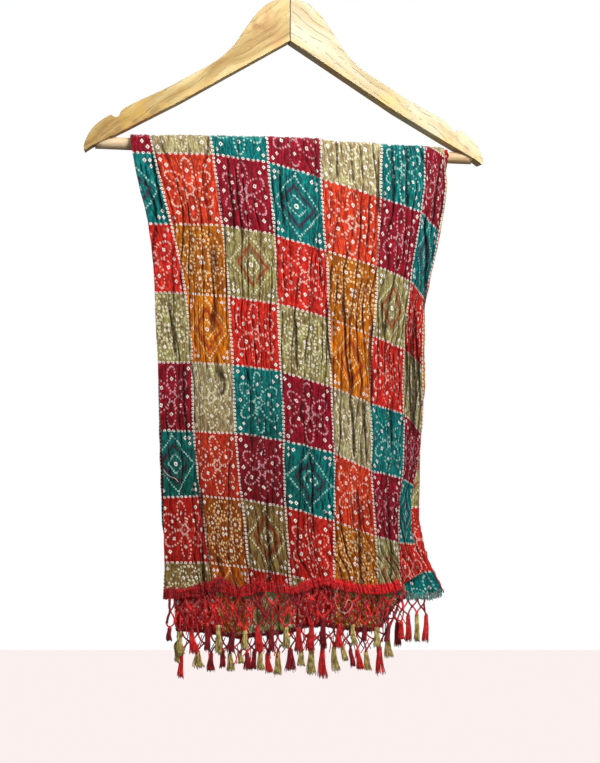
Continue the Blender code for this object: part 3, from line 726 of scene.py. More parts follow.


# The dyes: the ground, its lighter shade for uneven dye and painted sheen, and the small dots tied in it.
DYES = {
    "maroon": (tone(172, 9, 38), tone(192, 30, 62), tone(236, 178, 186)),
    "pale_olive": (tone(206, 200, 136), tone(232, 226, 178), tone(246, 242, 212)),
    "teal": (tone(0, 142, 138), tone(12, 170, 160), tone(186, 230, 218)),
    "orange_red": (tone(248, 62, 30), tone(255, 112, 62), tone(255, 218, 198)),
    "red": (tone(246, 38, 26), tone(250, 78, 56), tone(250, 204, 190)),
    "mustard": (tone(212, 116, 4), tone(236, 152, 34), tone(252, 228, 172)),
    "olive": (tone(186, 178, 102), tone(216, 210, 152), tone(246, 242, 206)),
    "orange": (tone(255, 140, 4), tone(255, 178, 52), tone(255, 230, 166)),
}
# The checks in their order, four rows of three.
CHECKS = ["maroon", "pale_olive", "teal", "teal", "orange_red", "maroon",
          "red", "mustard", "olive", "olive", "orange", "red"]
CHECK_GROUNDS, CHECK_PALE_DYES_AND_SHEENS, CHECK_DOTS = ([DYES[check][i] for check in CHECKS] for i in range(3))
FLOWER, DIAMOND, RING = (1, 0, 0, 1), (0, 1, 0, 1), (0, 0, 1, 1)
CHECK_MOTIFS = [FLOWER, FLOWER, FLOWER, DIAMOND, FLOWER, FLOWER,
                FLOWER, RING, DIAMOND, RING, DIAMOND, FLOWER]
LINE_COLOURS = [tone(70, 30, 60)] * 4 + [tone(168, 52, 36)] * 8
OUT_OF_REACH = 60.0
UP_BEADS, SIDE_BEADS = 18.0, 11.0  # tied dots along one check's borders
BEAD_SQUASH = 1.3


def petal_dots(x, y, middle, long, wide, count):
    """Distance to the nearest of the dots along an ellipse that points away from the centre."""
    step = 2.0 * math.pi / count
    from_middle = x - middle
    turn = (y / wide).math("ARCTAN2", from_middle / long).nearest(step)
    return reach(from_middle - turn.math("COSINE") * long, y - turn.math("SINE") * wide)


def folded(angle, radius, sectors, first=0.0):
    """Coordinates along and across the nearest of several rays from the centre."""
    step = 2.0 * math.pi / sectors
    turn = angle - ((angle - first).nearest(step) + first)
    return radius * turn.math("COSINE"), radius * turn.math("SINE")


def diamond_dots(wide_x, wide_y, half, gap):
    """Distance to the nearest dot along a diamond's sides."""
    along_side = wide_x - wide_y
    return reach((wide_x + wide_y - half) / math.sqrt(2.0),
                 (along_side - along_side.nearest(gap)) / math.sqrt(2.0))


def knot_at(x, y, at_x, at_y):
    """Distance, measured as a diamond, to a large tied dot."""
    return (x - at_x).size() + (y - at_y).size()


# Each motif gives the distance to its small dots and to its large ones, in millimetres.
def flower(y, wide_x, wide_y, radius, angle, corners):
    petal_x, petal_y = folded(angle, radius, 6, math.pi / 6.0)
    big = knot_at(petal_x, petal_y, 19.5, 0.0).least(knot_at(wide_x, wide_y, 25.0, 25.0))
    big = big.least(corners).least(knot_at(wide_x, y, 29.5, 0.0))
    return petal_dots(petal_x, petal_y, 19.0, 14.0, 7.0, 19).least(radius), big


def diamond(wide_x, wide_y, radius):
    far, near = wide_x.most(wide_y), wide_x.least(wide_y)
    tips = reach(far - far.nearest(3.4), near) + far.fades(31.0, 33.0) * OUT_OF_REACH
    small = diamond_dots(wide_x, wide_y, 32.0, 5.0).least(tips)
    big = radius
    for at_x, at_y in ((30.0, 30.0), (30.0, 23.5), (23.5, 30.0)):
        big = big.least(knot_at(wide_x, wide_y, at_x, at_y))
    return small.least(diamond_dots(wide_x, wide_y, 11.5, 4.6)), big


def ring(wide_x, wide_y, radius, angle, corners):
    inner_x, inner_y = folded(angle, radius, 18)
    ray_x, ray_y = folded(angle, radius, 8, math.pi / 8.0)
    outer_x, outer_y = folded(angle, radius, 40)
    small = reach(inner_x - 12.5, inner_y).least(petal_dots(ray_x, ray_y, 22.5, 7.6, 6.4, 11))
    small = small.least(reach(outer_x - 33.5, outer_y)) - 0.25
    return small, knot_at(ray_x, ray_y, 22.5, 0.0).least(knot_at(wide_x, wide_y, 2.8, 2.8)).least(corners)


def bandhani_material():
    """Crinkled silk with tie-dyed checks, their dotted borders and the motifs tied in them, with painted
    shade in its creases and painted sheen.
    """
    material, shader = new_material(
        "bandhani_silk", Roughness=0.38, Sheen_Weight=0.03, Sheen_Roughness=0.4, Specular_IOR_Level=0.15)
    source = shader.id_data.nodes.new("ShaderNodeAttribute")
    source.attribute_name = "print"
    across, down, rise = split(source.outputs["Vector"])
    stray_x, stray_y, uneven = split(noise_node((across * 9.0, down * 9.0, 0.0)).outputs[1])
    across = across + (stray_x - 0.5) * 0.024
    down = down + (stray_y - 0.5) * 0.028
    column, row = across.math("FLOOR"), down.math("FLOOR")
    x = (across - column - 0.5) * CELL
    y = (0.5 - (down - row)) * CELL
    kind = (row.math("FLOORED_MODULO", 4.0) * 3.0 + column.math("FLOORED_MODULO", 3.0) + 0.5) / 12.0

    wide_x, wide_y = x.size(), y.size()
    radius, angle = reach(x, y), y.math("ARCTAN2", x)
    corners = knot_at(wide_x, wide_y, 31.0, 31.0)
    has_motif = split(chart(kind, CHECK_MOTIFS))
    motifs = [flower(y, wide_x, wide_y, radius, angle, corners), diamond(wide_x, wide_y, radius),
              ring(wide_x, wide_y, radius, angle, corners)]
    small, large = ([motif[size] + (1.0 - has) * OUT_OF_REACH for motif, has in zip(motifs, has_motif)]
                    for size in range(2))
    line = ((wide_x + wide_y - 21.5).size()).fades(1.6, 3.4) * has_motif[1]
    up_beads = ((down * UP_BEADS + 0.5).math("FRACT") - 0.5) * (CELL / UP_BEADS)
    side_beads = ((across * SIDE_BEADS + 0.5).math("FRACT") - 0.5) * (CELL / SIDE_BEADS)
    border = reach(wide_x - CELL / 2.0, up_beads * BEAD_SQUASH)
    border = border.least(reach((wide_y - CELL / 2.0) * BEAD_SQUASH, side_beads))

    spread = (uneven - 0.5) * 1.1
    small = small[0].least(small[1]).least(small[2]) + spread
    large = large[0].least(large[1]).least(large[2]) + spread * 1.3
    border = border + spread * 0.6
    dots = small.fades(0.88, 1.48) * stray_x.fades(0.42, 0.36)
    tied = large.fades(2.25, 2.95).most(border.fades(1.6, 2.15))

    rough = {"detail": 4.0, "roughness": 0.62}
    dye_mottle_and_shade = texture_noise((across * 15.0, down * 4.0, 3.0), **rough)
    sheen_and_dye_streak = texture_noise((across * 34.0, down * 11.0, 7.0), **rough)
    crease = texture_noise((across * 40.0 + down * 9.0, down * 16.0, 1.0), detail=4.0, roughness=0.6)
    other = texture_noise((across * 40.0 - down * 9.0, down * 16.0, 5.0), detail=3.0, roughness=0.6)
    facets = (crease - 0.5).size() + (other - 0.5).size()
    dye = chart(kind, CHECK_GROUNDS)
    # A darker shade of the dye, used for uneven dye and for painted shade in the crinkle.
    deep = blend_colour(1.0, dye, tone(178, 150, 160), "MULTIPLY")
    # Darker blotches: uneven dye and painted crinkle shade.
    ground = blend_colour(dye_mottle_and_shade.fades(0.58, 0.34), dye, deep)
    # Lighter streaks: uneven dye and painted sheen on the silk.
    ground = blend_colour(sheen_and_dye_streak.fades(0.66, 0.48), ground, chart(kind, CHECK_PALE_DYES_AND_SHEENS))
    # Painted shade: the valleys of the crumple between facets are darkened.
    ground = blend_colour(facets.fades(0.03, 0.13) * 0.55, ground, deep)
    ground = blend_colour(line * uneven.fades(0.42, 0.30) * 0.85, ground, chart(kind, LINE_COLOURS))
    # Painted shade: the front fall gets darker towards its lower left, where less light falls on it.
    outer_end = object_place(shader)[1].fades(-10.5 * MM, -9.5 * MM)
    painted_low_left_shade = down.fades(6.2, 3.6) * across.fades(2.6, 4.4) * outer_end
    ground = blend_colour(painted_low_left_shade, ground, tone(214, 186, 168), "MULTIPLY")
    pale = blend_colour(uneven * 0.35 + 0.66, ground, chart(kind, CHECK_DOTS))
    dyed = blend_colour(dots, ground, pale)
    dyed = blend_colour(tied, dyed, tone(255, 249, 240))
    hole = large.fades(0.65, 1.2).most(border.fades(0.5, 1.05) * 0.95).most(small.fades(0.1, 0.5) * 0.4)
    dyed = blend_colour(hole, dyed, ground)
    shadow = blend_colour(1.0, dyed, blend_colour(0.55, tone(255, 255, 255), dye), "MULTIPLY")
    shadow = blend_colour(1.0, shadow, tone(120, 104, 106), "MULTIPLY")
    feed(shader.inputs["Base Color"], blend_colour(rise.fades(0.06, 0.44) * 0.88, dyed, shadow))
    weave = (across * CELL * 9.0).math("SINE") * (down * CELL * 9.0).math("SINE")
    raise_surface(shader, facets * 1.6 + dots * 0.10 + tied * 0.12 + weave * 0.02, 0.9, 0.0020)
    return material


def thread_material(name, dark, light, roughness, stretch, paler=0.0):
    """Twisted cotton or silk thread, with lighter and darker plies.

    stretch says how much finer the plies are across X and Y than along Z, and paler how much
    lighter they get towards the right.
    """
    material, shader = new_material(
        name, Roughness=roughness, Sheen_Weight=0.10, Sheen_Roughness=0.4, Specular_IOR_Level=0.35)
    x, y, z = object_place(shader)
    broad = texture_noise((x, y, z), 220.0, detail=3.0)
    strands = texture_noise((x * stretch, y * stretch, z / stretch), 330.0)
    plies = texture_noise((x * 2.2, y * 2.2, z), 1300.0)
    mixed = broad * 0.35 + strands * 0.45 + plies * 0.2 + x * paler
    feed(shader.inputs["Base Color"], chart(mixed.fades(0.62, 0.38), [dark, light], "LINEAR"))
    raise_surface(shader, plies, 0.5, 0.0003)
    return material


def wood_material(name, turn, colours, pores, growth=0.0, stains=(), edge_side=0.0):
    """Sanded softwood whose grain runs at an angle turn, in radians.

    growth is how dark the growth lines are, stains lists x, z, radius, shade and strength, and
    edge_side says on which side of the middle an arm lies, for the painted warm light along its
    lower edge and the painted shade on its rounded edges.
    """
    material, shader = new_material(
        name, Roughness=0.5, Specular_IOR_Level=0.25, Coat_Weight=0.08, Coat_Roughness=0.35)
    x, y, z = object_place(shader)
    along_grain = x * math.cos(turn) + z * math.sin(turn)
    over_grain = z * math.cos(turn) - x * math.sin(turn)
    cloud = texture_noise((x, y, z), 55.0, detail=3.0, roughness=0.6)
    wave = texture_noise((x, y, z), 16.0, detail=1.0)
    over_grain = over_grain + (cloud - 0.5) * 0.004 + (wave - 0.5) * 0.018
    figure = texture_noise((along_grain * 8.0, y * 20.0, over_grain * 60.0),
                           detail=4.0, roughness=0.55, distortion=0.3)
    lines = texture_noise((along_grain * 22.0, y * 40.0, over_grain * 520.0),
                          detail=3.0, roughness=0.6)
    specks = texture_noise((along_grain * 260.0, y * 500.0, over_grain * 900.0))
    wood = chart(figure.fades(0.30, 0.72), colours, "LINEAR")
    wood = blend_colour(lines.fades(0.70, 0.48) * 0.40, wood, colours[0])
    for stain_x, stain_z, radius, shade, strength in stains:
        away = reach(x - stain_x * MM, z - stain_z * MM) / (radius * MM)
        patch = (away * away * -1.0).math("EXPONENT") * cloud.fades(0.60, 0.38)
        wood = blend_colour(patch * strength, wood, shade)
    if edge_side:
        # Painted light: a warm band on the front face just above the arm's lower edge, as if lit from below.
        above_edge = (z + UNDERSIDE_TOP * MM + x * (edge_side * UNDERSIDE_SLOPE)) * UNDERSIDE_ACROSS
        painted_warm_light = above_edge.fades(0.0015, 0.0090) * cloud.fades(0.62, 0.40) * 0.55
        wood = blend_colour(painted_warm_light, wood, tone(232, 190, 116))
    line_place = over_grain.nearest(GROWTH_GAP)
    dashes = texture_noise((along_grain * 80.0, y * 60.0, line_place * 900.0))
    growth_lines = (over_grain - line_place).size().fades(0.00012, 0.00040) * dashes.fades(0.52, 0.43)
    growth_lines = growth_lines * y.size().fades(0.0088, 0.0080)
    glue_line = x.size().fades(0.0004, 0.0009)
    marks = (growth_lines * growth).most(specks.fades(0.70, 0.62) * lines.fades(0.58, 0.50) * pores)
    wood = blend_colour(marks.most(glue_line * growth), wood, tone(88, 66, 38))
    if edge_side:
        # Painted shade: the rounded edges, where the normal turns away from the front, are darkened.
        normal = shader.id_data.nodes.new("ShaderNodeNewGeometry").outputs["Normal"]
        facing = split(normal)[1].size()
        rounded = facing.fades(0.70, 0.93) * facing.fades(0.20, 0.05)
        wood = blend_colour(rounded * 0.55, wood, tone(132, 96, 48))
    feed(shader.inputs["Base Color"], wood)
    raise_surface(shader, lines * 0.5 + specks * 0.5, 0.25, 0.0004)
    return material


def steel_material():
    material, shader = new_material("zinc_plated_wire", Metallic=1.0)
    x, y, z = object_place(shader)
    drawn = texture_noise((x * 3.0, y, z * 3.0), 420.0, detail=3.0)
    feed(shader.inputs["Base Color"], chart(drawn, [tone(188, 190, 194), tone(226, 227, 228)], "LINEAR"))
    feed(shader.inputs["Roughness"], 0.22 + drawn * 0.18)
    return material


# ---- the cloth's pieces
silk = bandhani_material()
crochet = thread_material("crochet_thread", tone(134, 6, 12), tone(236, 28, 32), 0.58, 0.6, 0.6)
dark_crochet = thread_material("dark_crochet_thread", tone(84, 6, 14), tone(146, 18, 28), 0.58, 0.6)
red_thread = thread_material("red_thread", tone(166, 8, 14), tone(252, 52, 50), 0.44, 2.4)
wine_thread = thread_material("wine_thread", tone(88, 2, 14), tone(176, 22, 38), 0.44, 2.4)
olive_thread = thread_material("olive_thread", tone(116, 92, 26), tone(236, 214, 134), 0.44, 2.4)
teal_thread = thread_material("teal_thread", tone(0, 84, 84), tone(40, 160, 148), 0.50, 2.0)
loose_thread = thread_material("loose_thread", tone(206, 150, 150), tone(238, 206, 200), 0.60, 1.0)
THREADS = {"red": 0, "wine": 1, "olive": 2}
THREAD_MATERIALS = [red_thread, wine_thread, olive_thread]


def make_front_cloth():
    points, rise, print_z = front_fall.points(*front_fall.grid(columns=560, rows=156, wrap_rows=14))
    return add_cloth("front_fall_cloth", points, *front_print(points, print_z), rise)


def make_inner_cloth():
    points, rise, print_z = inner_fall.points(*inner_fall.grid(columns=400, rows=124, wrap_rows=10))
    marks = range(len(INNER_COLUMNS))
    across, down = plain_print(points, print_z, INNER_COLUMNS, marks, INNER_ROW, 6.0)
    return add_cloth("inner_fall_cloth", points, across, down, rise)


def make_back_cloth():
    """The loop behind the bar, whose upright borders carry on from the front's top row."""
    points, rise, print_z = back_points(np.linspace(0.0, 1.0, BACK_POINTS_ACROSS), back_stations())
    _, left, *borders, right, first_mark, last_mark = FRONT_COLUMNS[0]
    columns = [(line - left) / (right - left) for line in (left, *borders, right)]
    marks = [first_mark, 1, 2, 3, 4, 5, 6, last_mark]
    across, down = plain_print(points, print_z, columns, marks, FRONT_ROWS[0], 0.0)
    return add_cloth("back_fall_cloth", points, across, down, rise)


# ---- crochet bands
def make_band(name, fall, end, side, top, drop, material, seed):
    """A ribbon with rows of slanting stitches along a hem, on the face of the cloth that side names."""
    bundle = Bundle()

    def hem_and_height(place):
        return fall.length(place), read_table(top, across_fall(fall.edges, place, BAND_LEVEL))

    place = np.linspace(0.0, end, BAND_COLUMNS)
    share = np.linspace(0.0, 1.0, BAND_ROWS)[:, None]
    hem, height = hem_and_height(place)
    run = hem - (height + 0.4) * (1.0 - share) + (drop + 0.5) * share
    ribbon, _, _ = fall.points(np.broadcast_to(place, run.shape), run, side * BAND_LIFT)
    bundle.add(ribbon.reshape(-1, 3), grid_faces(*run.shape))
    stitches = int(STITCHES * end)
    index = np.arange(stitches)
    for chain in range(CHAINS):
        at = np.clip((index + 0.5 * (chain % 2) + 0.25) / stitches * end, 0.0, end)
        hem, height = hem_and_height(at)
        run = hem + ((chain + 0.5) / CHAINS * (height + drop) - height)
        size = 0.85 + 0.35 * noise(index * 1.7, chain, seed)
        for face in (side, -side) if drop and chain >= CHAINS // 2 else (side,):
            lift = side * BAND_LIFT + face * (1.2 if chain % 2 else 0.35)
            spots, _, _ = fall.points(at, run, lift)
            ahead, _, _ = fall.points(at + STEP_AHEAD, run, lift)
            for spot, next_spot, scale in zip(spots, ahead, size):
                level_way = next_spot - spot
                level_way /= np.linalg.norm(level_way)
                for lean in (-1.0, 1.0):
                    long = (level_way * 0.62 + lean * 0.85 * UP) * 1.55 * scale
                    wide = (level_way * 0.85 - lean * 0.62 * UP) * 0.70 * scale
                    bundle.bead(spot + lean * 0.6 * UP, long, wide, (0.0, 0.70 * scale, 0.0), 3, 5)
    picots = int(PICOTS * end)
    at = (np.arange(picots) + 0.5) / picots * end
    hem, height = hem_and_height(at)
    spots, _, _ = fall.points(at, hem - height - 1.0, side * (BAND_LIFT + 0.3))
    for i, spot in enumerate(spots):
        centre = spot + 1.1 * noise(i * 2.3, 0.0, seed + 1) * UP
        bundle.bead(centre, 1.1 * UP, (0.75, 0.0, 0.0), (0.0, 0.55, 0.0), 3, 5)
    return bundle.piece(name, material)


# ---- fringes
def cord_path(start, end, bow, steps=7):
    """A slack cord between two knots that bows sideways and hangs a little."""
    share = np.linspace(0.0, 1.0, steps)[:, None]
    path = start + share * (end - start)
    swell = np.sin(math.pi * share[:, 0])
    path[:, 0] += bow * swell
    path[:, 2] -= 0.5 * swell
    return path


def twist_cords(bundle, path, kind, turns):
    """Two plies laid round each other along a path."""
    angle = np.linspace(0.0, turns * 2.0 * math.pi, len(path))
    for half in (0.0, math.pi):
        offset = np.stack([np.cos(angle + half), np.sin(angle + half), np.zeros(len(path))], -1)
        bundle.tube(path + offset * NET_CORD * 0.7, NET_CORD, 5, kind)


def loop_round(centre, across, deep, low, tilt, steps):
    """A level loop round a point, tilted to the right, as points."""
    turn = np.linspace(0.0, 2.0 * math.pi, steps)
    return centre + np.stack([across * np.cos(turn), deep * np.sin(turn), low + tilt * np.cos(turn)], -1)


def add_knot(bundle, centre, kind):
    """A small tied knot: a grain with two wraps across it."""
    size = KNOT_SIZE
    bundle.bead(centre, 1.25 * size * UP, (size, 0.0, 0.0), (0.0, 0.85 * size, 0.0), 5, 8, kind)
    for shift in (-0.45, 0.4):
        wrap = loop_round(centre, 1.02 * size, 0.9 * size, shift * size, 0.25 * size, 9)
        bundle.tube(wrap, 0.3 * size, 4, kind)


def add_tassel(bundle, head, tip_z, lean, full, kind, seed):
    """A wrapped head and a brush of fine strands that part towards the tip."""
    length = head[2] - tip_z
    girth = 0.85 + 0.35 * full
    for level in (0.5, 1.7, 2.9):
        bundle.tube(loop_round(head, 1.7 * girth, 1.45 * girth, -level, 0.4, 11), 0.6, 5, kind)
    splay = (2.3 + 2.2 * float(noise(seed * 3.1, 0.5, 71))) * full
    waves = 0.4 + 0.9 * float(noise(seed * 1.9, 0.5, 72))
    share = np.linspace(0.0, 1.0, 8)
    taper = np.where(share < 0.95, 1.0, 0.6)
    for strand in range(TASSEL_STRANDS):
        angle = strand * GOLDEN_ANGLE
        out = math.sqrt((strand + 0.5) / TASSEL_STRANDS)
        own = float(noise(strand * 1.37 + seed * 7.7, 0.5, 73)) - 0.5
        spread = (1.5 * girth + (splay - 1.5) * share ** 1.4) * out
        sway = (waves * np.sin(share * 5.0 + seed + own * 3.0) + 2.4 * own * full * out * share) * share
        x = head[0] + lean * share ** 1.3 + spread * math.cos(angle) * 1.15 + sway
        y = head[1] + 0.75 * spread * math.sin(angle) + 0.3 * own * share
        z = head[2] - share * length * (0.92 + 0.24 * own)
        bundle.tube(np.stack([x, y, z], -1), (0.42 + 0.14 * own) * taper, 4, kind)


def knot_rows(hem, tassels, depth, drop, rows, row_height, seed):
    """Places of a net's knots, row by row from the hem down to the tassels' heads."""
    heads = np.array([float(tassel[0]) for tassel in tassels])
    gaps = (heads[1:] + heads[:-1]) / 2.0
    if rows % 2:
        gaps = np.concatenate([[heads[0] - 1.0], gaps, [heads[-1] + 2.0]])
    shortest = [tassel[2] + SHORTEST_TASSEL for tassel in tassels]
    for row in range(rows + 1):
        x = gaps if (rows - row) % 2 else heads
        index = np.arange(len(x))
        shake = [noise(index * 1.9, 0.5 + salt + 5.0 * row, seed) - 0.5 for salt in range(3)]
        if row < rows:
            x = np.clip(x + 4.0 * shake[0], hem[0][0] + 2.0, hem[-1][0] - 2.0)
        z = read_table(hem, x) - drop - row * row_height + (6.0 * shake[1] if row else 0.0)
        if row == rows:
            z = np.maximum(z, np.minimum(shortest, z + 0.5 * row_height))
        yield np.stack([x, depth + 0.6 * np.sin(x / 17.0) + 1.2 * shake[2], z], -1)


def make_fringe(hem, tassels, depth, drop, rows, row_height, seed):
    """Half rows of knotted diamonds under a hem, then a tassel on every lowest knot."""
    bundle = Bundle()
    upper, above = None, None
    for row, knots in enumerate(knot_rows(hem, tassels, depth, drop, rows, row_height, seed)):
        for i, knot in enumerate(knots):
            cord = 1 if (i + row) % 3 else 0
            add_knot(bundle, knot, cord)
            if row == 0:
                bundle.tube([knot + 3.0 * UP, knot], 0.9, 6, cord)
                continue
            is_inside = len(knots) < len(upper)
            first = i if is_inside else i - 1
            first_bow = -1.1 if is_inside else 1.1
            for j, bow in ((first, first_bow), (first + 1, -first_bow)):
                if 0 <= j < len(upper):
                    twist_cords(bundle, cord_path(upper[j], knot, bow), cord, 3.0)
            if not is_inside and i in (0, len(knots) - 1):
                twist_cords(bundle, cord_path(above[i], knot, -1.5 if i else 1.5), cord, 5.0)
        upper, above = knots, upper
    for i, (_, colour, tip_z, lean, full) in enumerate(tassels):
        add_tassel(bundle, upper[i] - 0.8 * UP, tip_z, lean, full, THREADS[colour], i + seed)
    return bundle


def add_loose_cords(bundle, hem, count, first, last, depth, longest, seed):
    """Cords that have slipped from their knots and cross the net either way."""
    for i in range(count):
        at, way, fall, sag, shade, low = chances(i * 3.7, 6, seed)
        x = first + (i + at) / count * (last - first)
        top = read_table(hem, x) - 2.0
        start = np.array([x, depth - 0.6 * at, top - 0.75 * longest * max(0.0, low - 0.35)])
        end = np.array([x + (way - 0.5) * 34.0, depth - 1.2 * way, start[2] - longest * (0.35 + 0.55 * fall)])
        bundle.tube(cord_path(start, end, (sag - 0.5) * 9.0, 9), LOOSE_RADIUS, 5, 0 if shade > 0.42 else 1)


def make_frayed_corner():
    """Short torn threads along the inner hem's right end, and a red thread up its edge."""
    bundle = Bundle()
    places = np.linspace(INNER_BAND_END, 0.998, FRAYED_THREADS)
    length = inner_fall.length(places)
    for i in range(FRAYED_THREADS):
        way, reach_down, above, bend = chances(i * 2.9, 4, 61)
        start, _, _ = inner_fall.points(places[i:i + 1], length[i:i + 1] - 1.0 - 4.0 * above, 0.5)
        x, y, z = start[0]
        end = np.array([x + (way - 0.5) * 6.0, y - 0.8, z - 3.0 - 4.0 * above - 4.5 * reach_down])
        bundle.tube(cord_path(start[0], end, (bend - 0.5) * 1.6, 5), FRAYED_RADIUS, 4, 0 if i % 9 else 1)
    run = np.linspace(length[-1] - 48.0, length[-1] + 1.0, 22)
    edge, _, _ = inner_fall.points(np.full(len(run), 1.0), run, 0.6)
    edge[:, 0] += 0.4 + 0.5 * np.sin(np.arange(len(run)) * 1.3)
    bundle.tube(edge, EDGE_RADIUS, 6, 1)
    return bundle.piece("frayed_corner", teal_thread, red_thread)


def make_strays():
    """Two loose pale threads caught on the cloth."""
    bundle = Bundle()
    for depth, route in STRAY_THREADS:
        bundle.tube(smooth_run([(x, depth, z) for x, z in route], 5), STRAY_RADIUS, 5)
    return bundle.piece("loose_threads", loose_thread)


# ---- hanger
def smooth_run(points, steps):
    """Points on a smooth curve through the given ones, ends included."""
    points = [np.asarray(point, float) for point in points]
    padded = [points[0]] + points + [points[-1]]
    run = [points[0]]
    for a, b, c, d in zip(padded, padded[1:], padded[2:], padded[3:]):
        for step in range(1, steps + 1):
            t = step / steps
            run.append(0.5 * (2.0 * b + (c - a) * t + (2.0 * a - 5.0 * b + 4.0 * c - d) * t * t
                              + (3.0 * b - a - 3.0 * c + d) * t * t * t))
    return np.array(run)


def make_arm(name, node, side, material):
    outline = np.vstack([smooth_run(ARM_CROWN, 5), ARM_NOTCH, smooth_run(ARM_TIP, 5), ARM_UNDERSIDE])
    sag = RIGHT_ARM_SAG if side > 0.0 else 0.0
    x = side * outline[:, 0]
    z = outline[:, 1] - sag * smooth_step(0.0, 60.0, outline[:, 0])
    count = len(outline)
    half = np.full(count, ARM_HALF_THICKNESS)
    points = np.vstack([np.stack([x, -half, z], -1), np.stack([x, half, z], -1)])
    faces = [list(range(count)), list(range(2 * count - 1, count - 1, -1))]
    faces += [[i, i + count, k + count, k] for i, k in ring_pairs(count)]
    if side < 0.0:
        faces = [face[::-1] for face in faces]
    arm = add_piece(name, points, faces, [material])
    ease = arm.modifiers.new("eased_edges", "BEVEL")
    ease.width = ARM_EDGE_ROUNDING * MM
    ease.segments = 4
    ease.limit_method = "ANGLE"
    ease.angle_limit = math.radians(50.0)
    ease.harden_normals = True
    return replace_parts(arm, node)


def make_bar(material):
    bundle = Bundle()
    x = np.linspace(-BAR_HALF_LENGTH, BAR_HALF_LENGTH, 60)
    bundle.tube(np.stack([x, 0.0 * x, bar_height(x)], -1), BAR_RADIUS, 40)
    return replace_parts(bundle.piece("beech_bar", material), "bar")


def hook_route():
    """Centre line of the wire: tip, bend round the rail, neck and shank."""
    angles = np.radians(np.linspace(HOOK_TIP_ANGLE, HOOK_NECK_ANGLE, 48))
    bend = np.stack([HOOK_BEND * np.cos(angles), HOOK_CENTRE_Z + HOOK_BEND * np.sin(angles)], -1)
    lean = math.radians(-HOOK_NECK_ANGLE)
    straight = (bend[-1, 0] - NECK_BEND * (1.0 - math.cos(lean))) / math.sin(lean)
    start_z = bend[-1, 1] - straight * math.cos(lean)
    turns = lean * np.linspace(1.0, 0.0, 12)
    neck = np.stack([NECK_BEND * (1.0 - np.cos(turns)),
                     start_z - NECK_BEND * (math.sin(lean) - np.sin(turns))], -1)
    shank = np.stack([np.zeros(6), np.linspace(neck[-1, 1], SHANK_END_Z, 7)[1:]], -1)
    x, z = np.vstack([bend, neck, shank]).T
    return np.stack([x, 0.0 * x, z], -1)


def make_hook(material):
    bundle = Bundle()
    route = hook_route()
    bundle.tube(route, WIRE_RADIUS, 16)
    tip_way = route[0] - route[1]
    tip_way /= np.linalg.norm(tip_way)
    sideways = np.array([0.0, 1.0, 0.0])
    bundle.bead(route[0], tip_way * WIRE_RADIUS, sideways * WIRE_RADIUS,
                np.cross(tip_way, sideways) * WIRE_RADIUS, 8, 16)
    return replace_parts(bundle.piece("wire_hook", material), "hook")


# ---- room, lights and camera
def add_stage_plane(name, centre, across, up, colour):
    """An even pale plane that shows in its own colour and throws no light on the object."""
    material, _ = new_material(
        name, Base_Color=(0.0, 0.0, 0.0, 1.0), Roughness=1.0, Specular_IOR_Level=0.0,
        Emission_Color=colour, Emission_Strength=1.0)
    corners = [centre - across - up, centre + across - up, centre + across + up, centre - across + up]
    mesh = bpy.data.meshes.new(name)
    mesh.from_pydata([corner.tolist() for corner in corners], [], [(0, 1, 2, 3)])
    mesh.materials.append(material)
    plane = add_object(name, mesh)
    plane.visible_diffuse = False
    plane.visible_glossy = False
    plane.visible_shadow = False


def set_room():
    ahead = np.array([math.sin(CAMERA_YAW), math.cos(CAMERA_YAW), 0.0])
    right = np.array([math.cos(CAMERA_YAW), -math.sin(CAMERA_YAW), 0.0])
    wall_foot = CAMERA_PLACE + ahead * BACKDROP_AWAY
    wall_foot[2] = FLOOR_Z
    add_stage_plane("backdrop", wall_foot + UP * 3.0, right * 5.0, UP * 3.0, tone(255, 255, 255))
    add_stage_plane("floor", wall_foot - ahead * 5.0, right * 5.0, ahead * 5.0, tone(252, 240, 238))
    for name, place, target, power, size in LIGHTS:
        lamp = bpy.data.lights.new(name, "AREA")
        lamp.energy, lamp.size = power, size
        light = add_object(name, lamp)
        light.location = place
        light.rotation_euler = (Vector(target) - Vector(place)).to_track_quat("-Z", "Y").to_euler()
    world = bpy.data.worlds.new("soft_room")
    world.use_nodes = True
    sky = world.node_tree.nodes["Background"]
    direction = split(world.node_tree.nodes.new("ShaderNodeTexCoord").outputs["Generated"])
    room = chart(direction[2].fades(0.35, -0.35), [tone(112, 108, 104), tone(216, 216, 214)], "LINEAR")
    feed(sky.inputs["Color"], room)
    sky.inputs["Strength"].default_value = SKY_STRENGTH
    bpy.context.scene.world = world
    bpy.context.scene.view_settings.view_transform = "Standard"


def set_camera():
    camera_data = bpy.data.cameras.new("camera")
    camera_data.lens = FOCAL_LENGTH
    camera_data.sensor_width = 36.0
    camera_data.sensor_fit = "AUTO"
    camera = add_object("camera", camera_data)
    camera.location = CAMERA_PLACE
    camera.rotation_euler = (math.pi / 2.0 + CAMERA_PITCH, 0.0, -CAMERA_YAW)
    bpy.context.scene.camera = camera


# ---- put together
set_camera()
set_room()

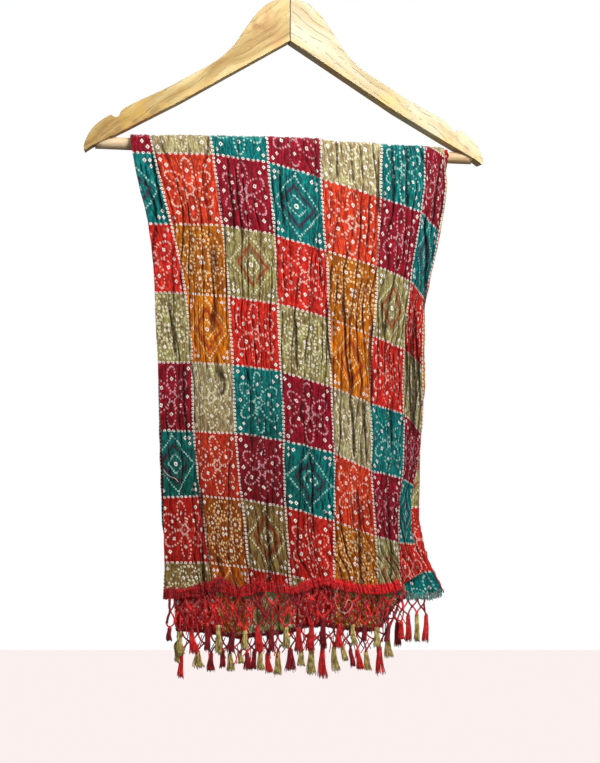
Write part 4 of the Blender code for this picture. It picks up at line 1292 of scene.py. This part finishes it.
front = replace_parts(make_front_cloth(), "stole_front")
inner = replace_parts(make_inner_cloth(), "stole_inner_front")
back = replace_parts(make_back_cloth(), "stole_back")
front_band = make_band(
    "front_crochet_band", front_fall, BAND_END, 1.0, FRONT_BAND_TOP, 0.0, crochet, seed=3)
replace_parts(front_band, "hem_band_front")
inner_band = make_band(
    "inner_crochet_band", inner_fall, INNER_BAND_END, -1.0, INNER_BAND_TOP, INNER_BAND_DROP,
    dark_crochet, seed=5)
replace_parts(inner_band, "hem_band_inner")
front_net = make_fringe(
    FRONT_HEM, FRONT_TASSELS, depth=-14.2, drop=1.6, rows=3, row_height=12.0, seed=2)
add_loose_cords(
    front_net, FRONT_HEM, LOOSE_CORDS, first=-124.0, last=120.0, depth=-13.4, longest=40.0, seed=51)
front_fringe = front_net.piece("front_fringe", *THREAD_MATERIALS)
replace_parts(front_fringe, "fringe_front")
inner_net = make_fringe(
    INNER_HEM, INNER_TASSELS, depth=-8.6, drop=3.2, rows=2, row_height=9.5, seed=6)
add_loose_cords(
    inner_net, INNER_HEM, LOOSE_CORDS // 2, first=-120.0, last=112.0, depth=-9.4, longest=30.0, seed=57)
inner_fringe = inner_net.piece("inner_fringe", *THREAD_MATERIALS)
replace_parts(inner_fringe, "fringe_inner")
strays = make_strays()
frayed = make_frayed_corner()

gold = [tone(226, 204, 150), tone(200, 172, 112), tone(162, 124, 68)]
cream = [tone(221, 212, 183), tone(208, 196, 161), tone(190, 166, 119)]
beige = [tone(232, 208, 172), tone(214, 186, 146), tone(184, 150, 108)]
# Stains in the wood: x, z, radius, shade and strength.
GOLD_STAINS = [
    (-38, -98, 13, tone(170, 112, 62), 0.85), (-22, -84, 9, tone(196, 140, 96), 0.7),
    (-14, -112, 9, tone(196, 140, 96), 0.6), (-125, -172, 10, tone(180, 128, 60), 0.6),
    (-205, -215, 34, tone(194, 150, 62), 0.95), (-158, -188, 22, tone(206, 164, 80), 0.7),
]
PALE_STAINS = [
    (32, -80, 9, tone(240, 196, 128), 0.7), (200, -214, 20, tone(240, 206, 166), 0.8),
    (112, -172, 12, tone(238, 200, 130), 0.6),
]
gold_wood = wood_material(
    "gold_wood", ARM_SLOPE, gold, pores=0.5, growth=0.62, stains=GOLD_STAINS, edge_side=-1.0)
pale_wood = wood_material(
    "pale_wood", -ARM_SLOPE, cream, pores=0.55, growth=0.9, stains=PALE_STAINS, edge_side=1.0)
make_arm("gold_arm", "arm_left", -1.0, gold_wood)
make_arm("pale_arm", "arm_right", 1.0, pale_wood)
make_bar(wood_material("bar_wood_grain", 0.0, beige, pores=0.4))
make_hook(steel_material())
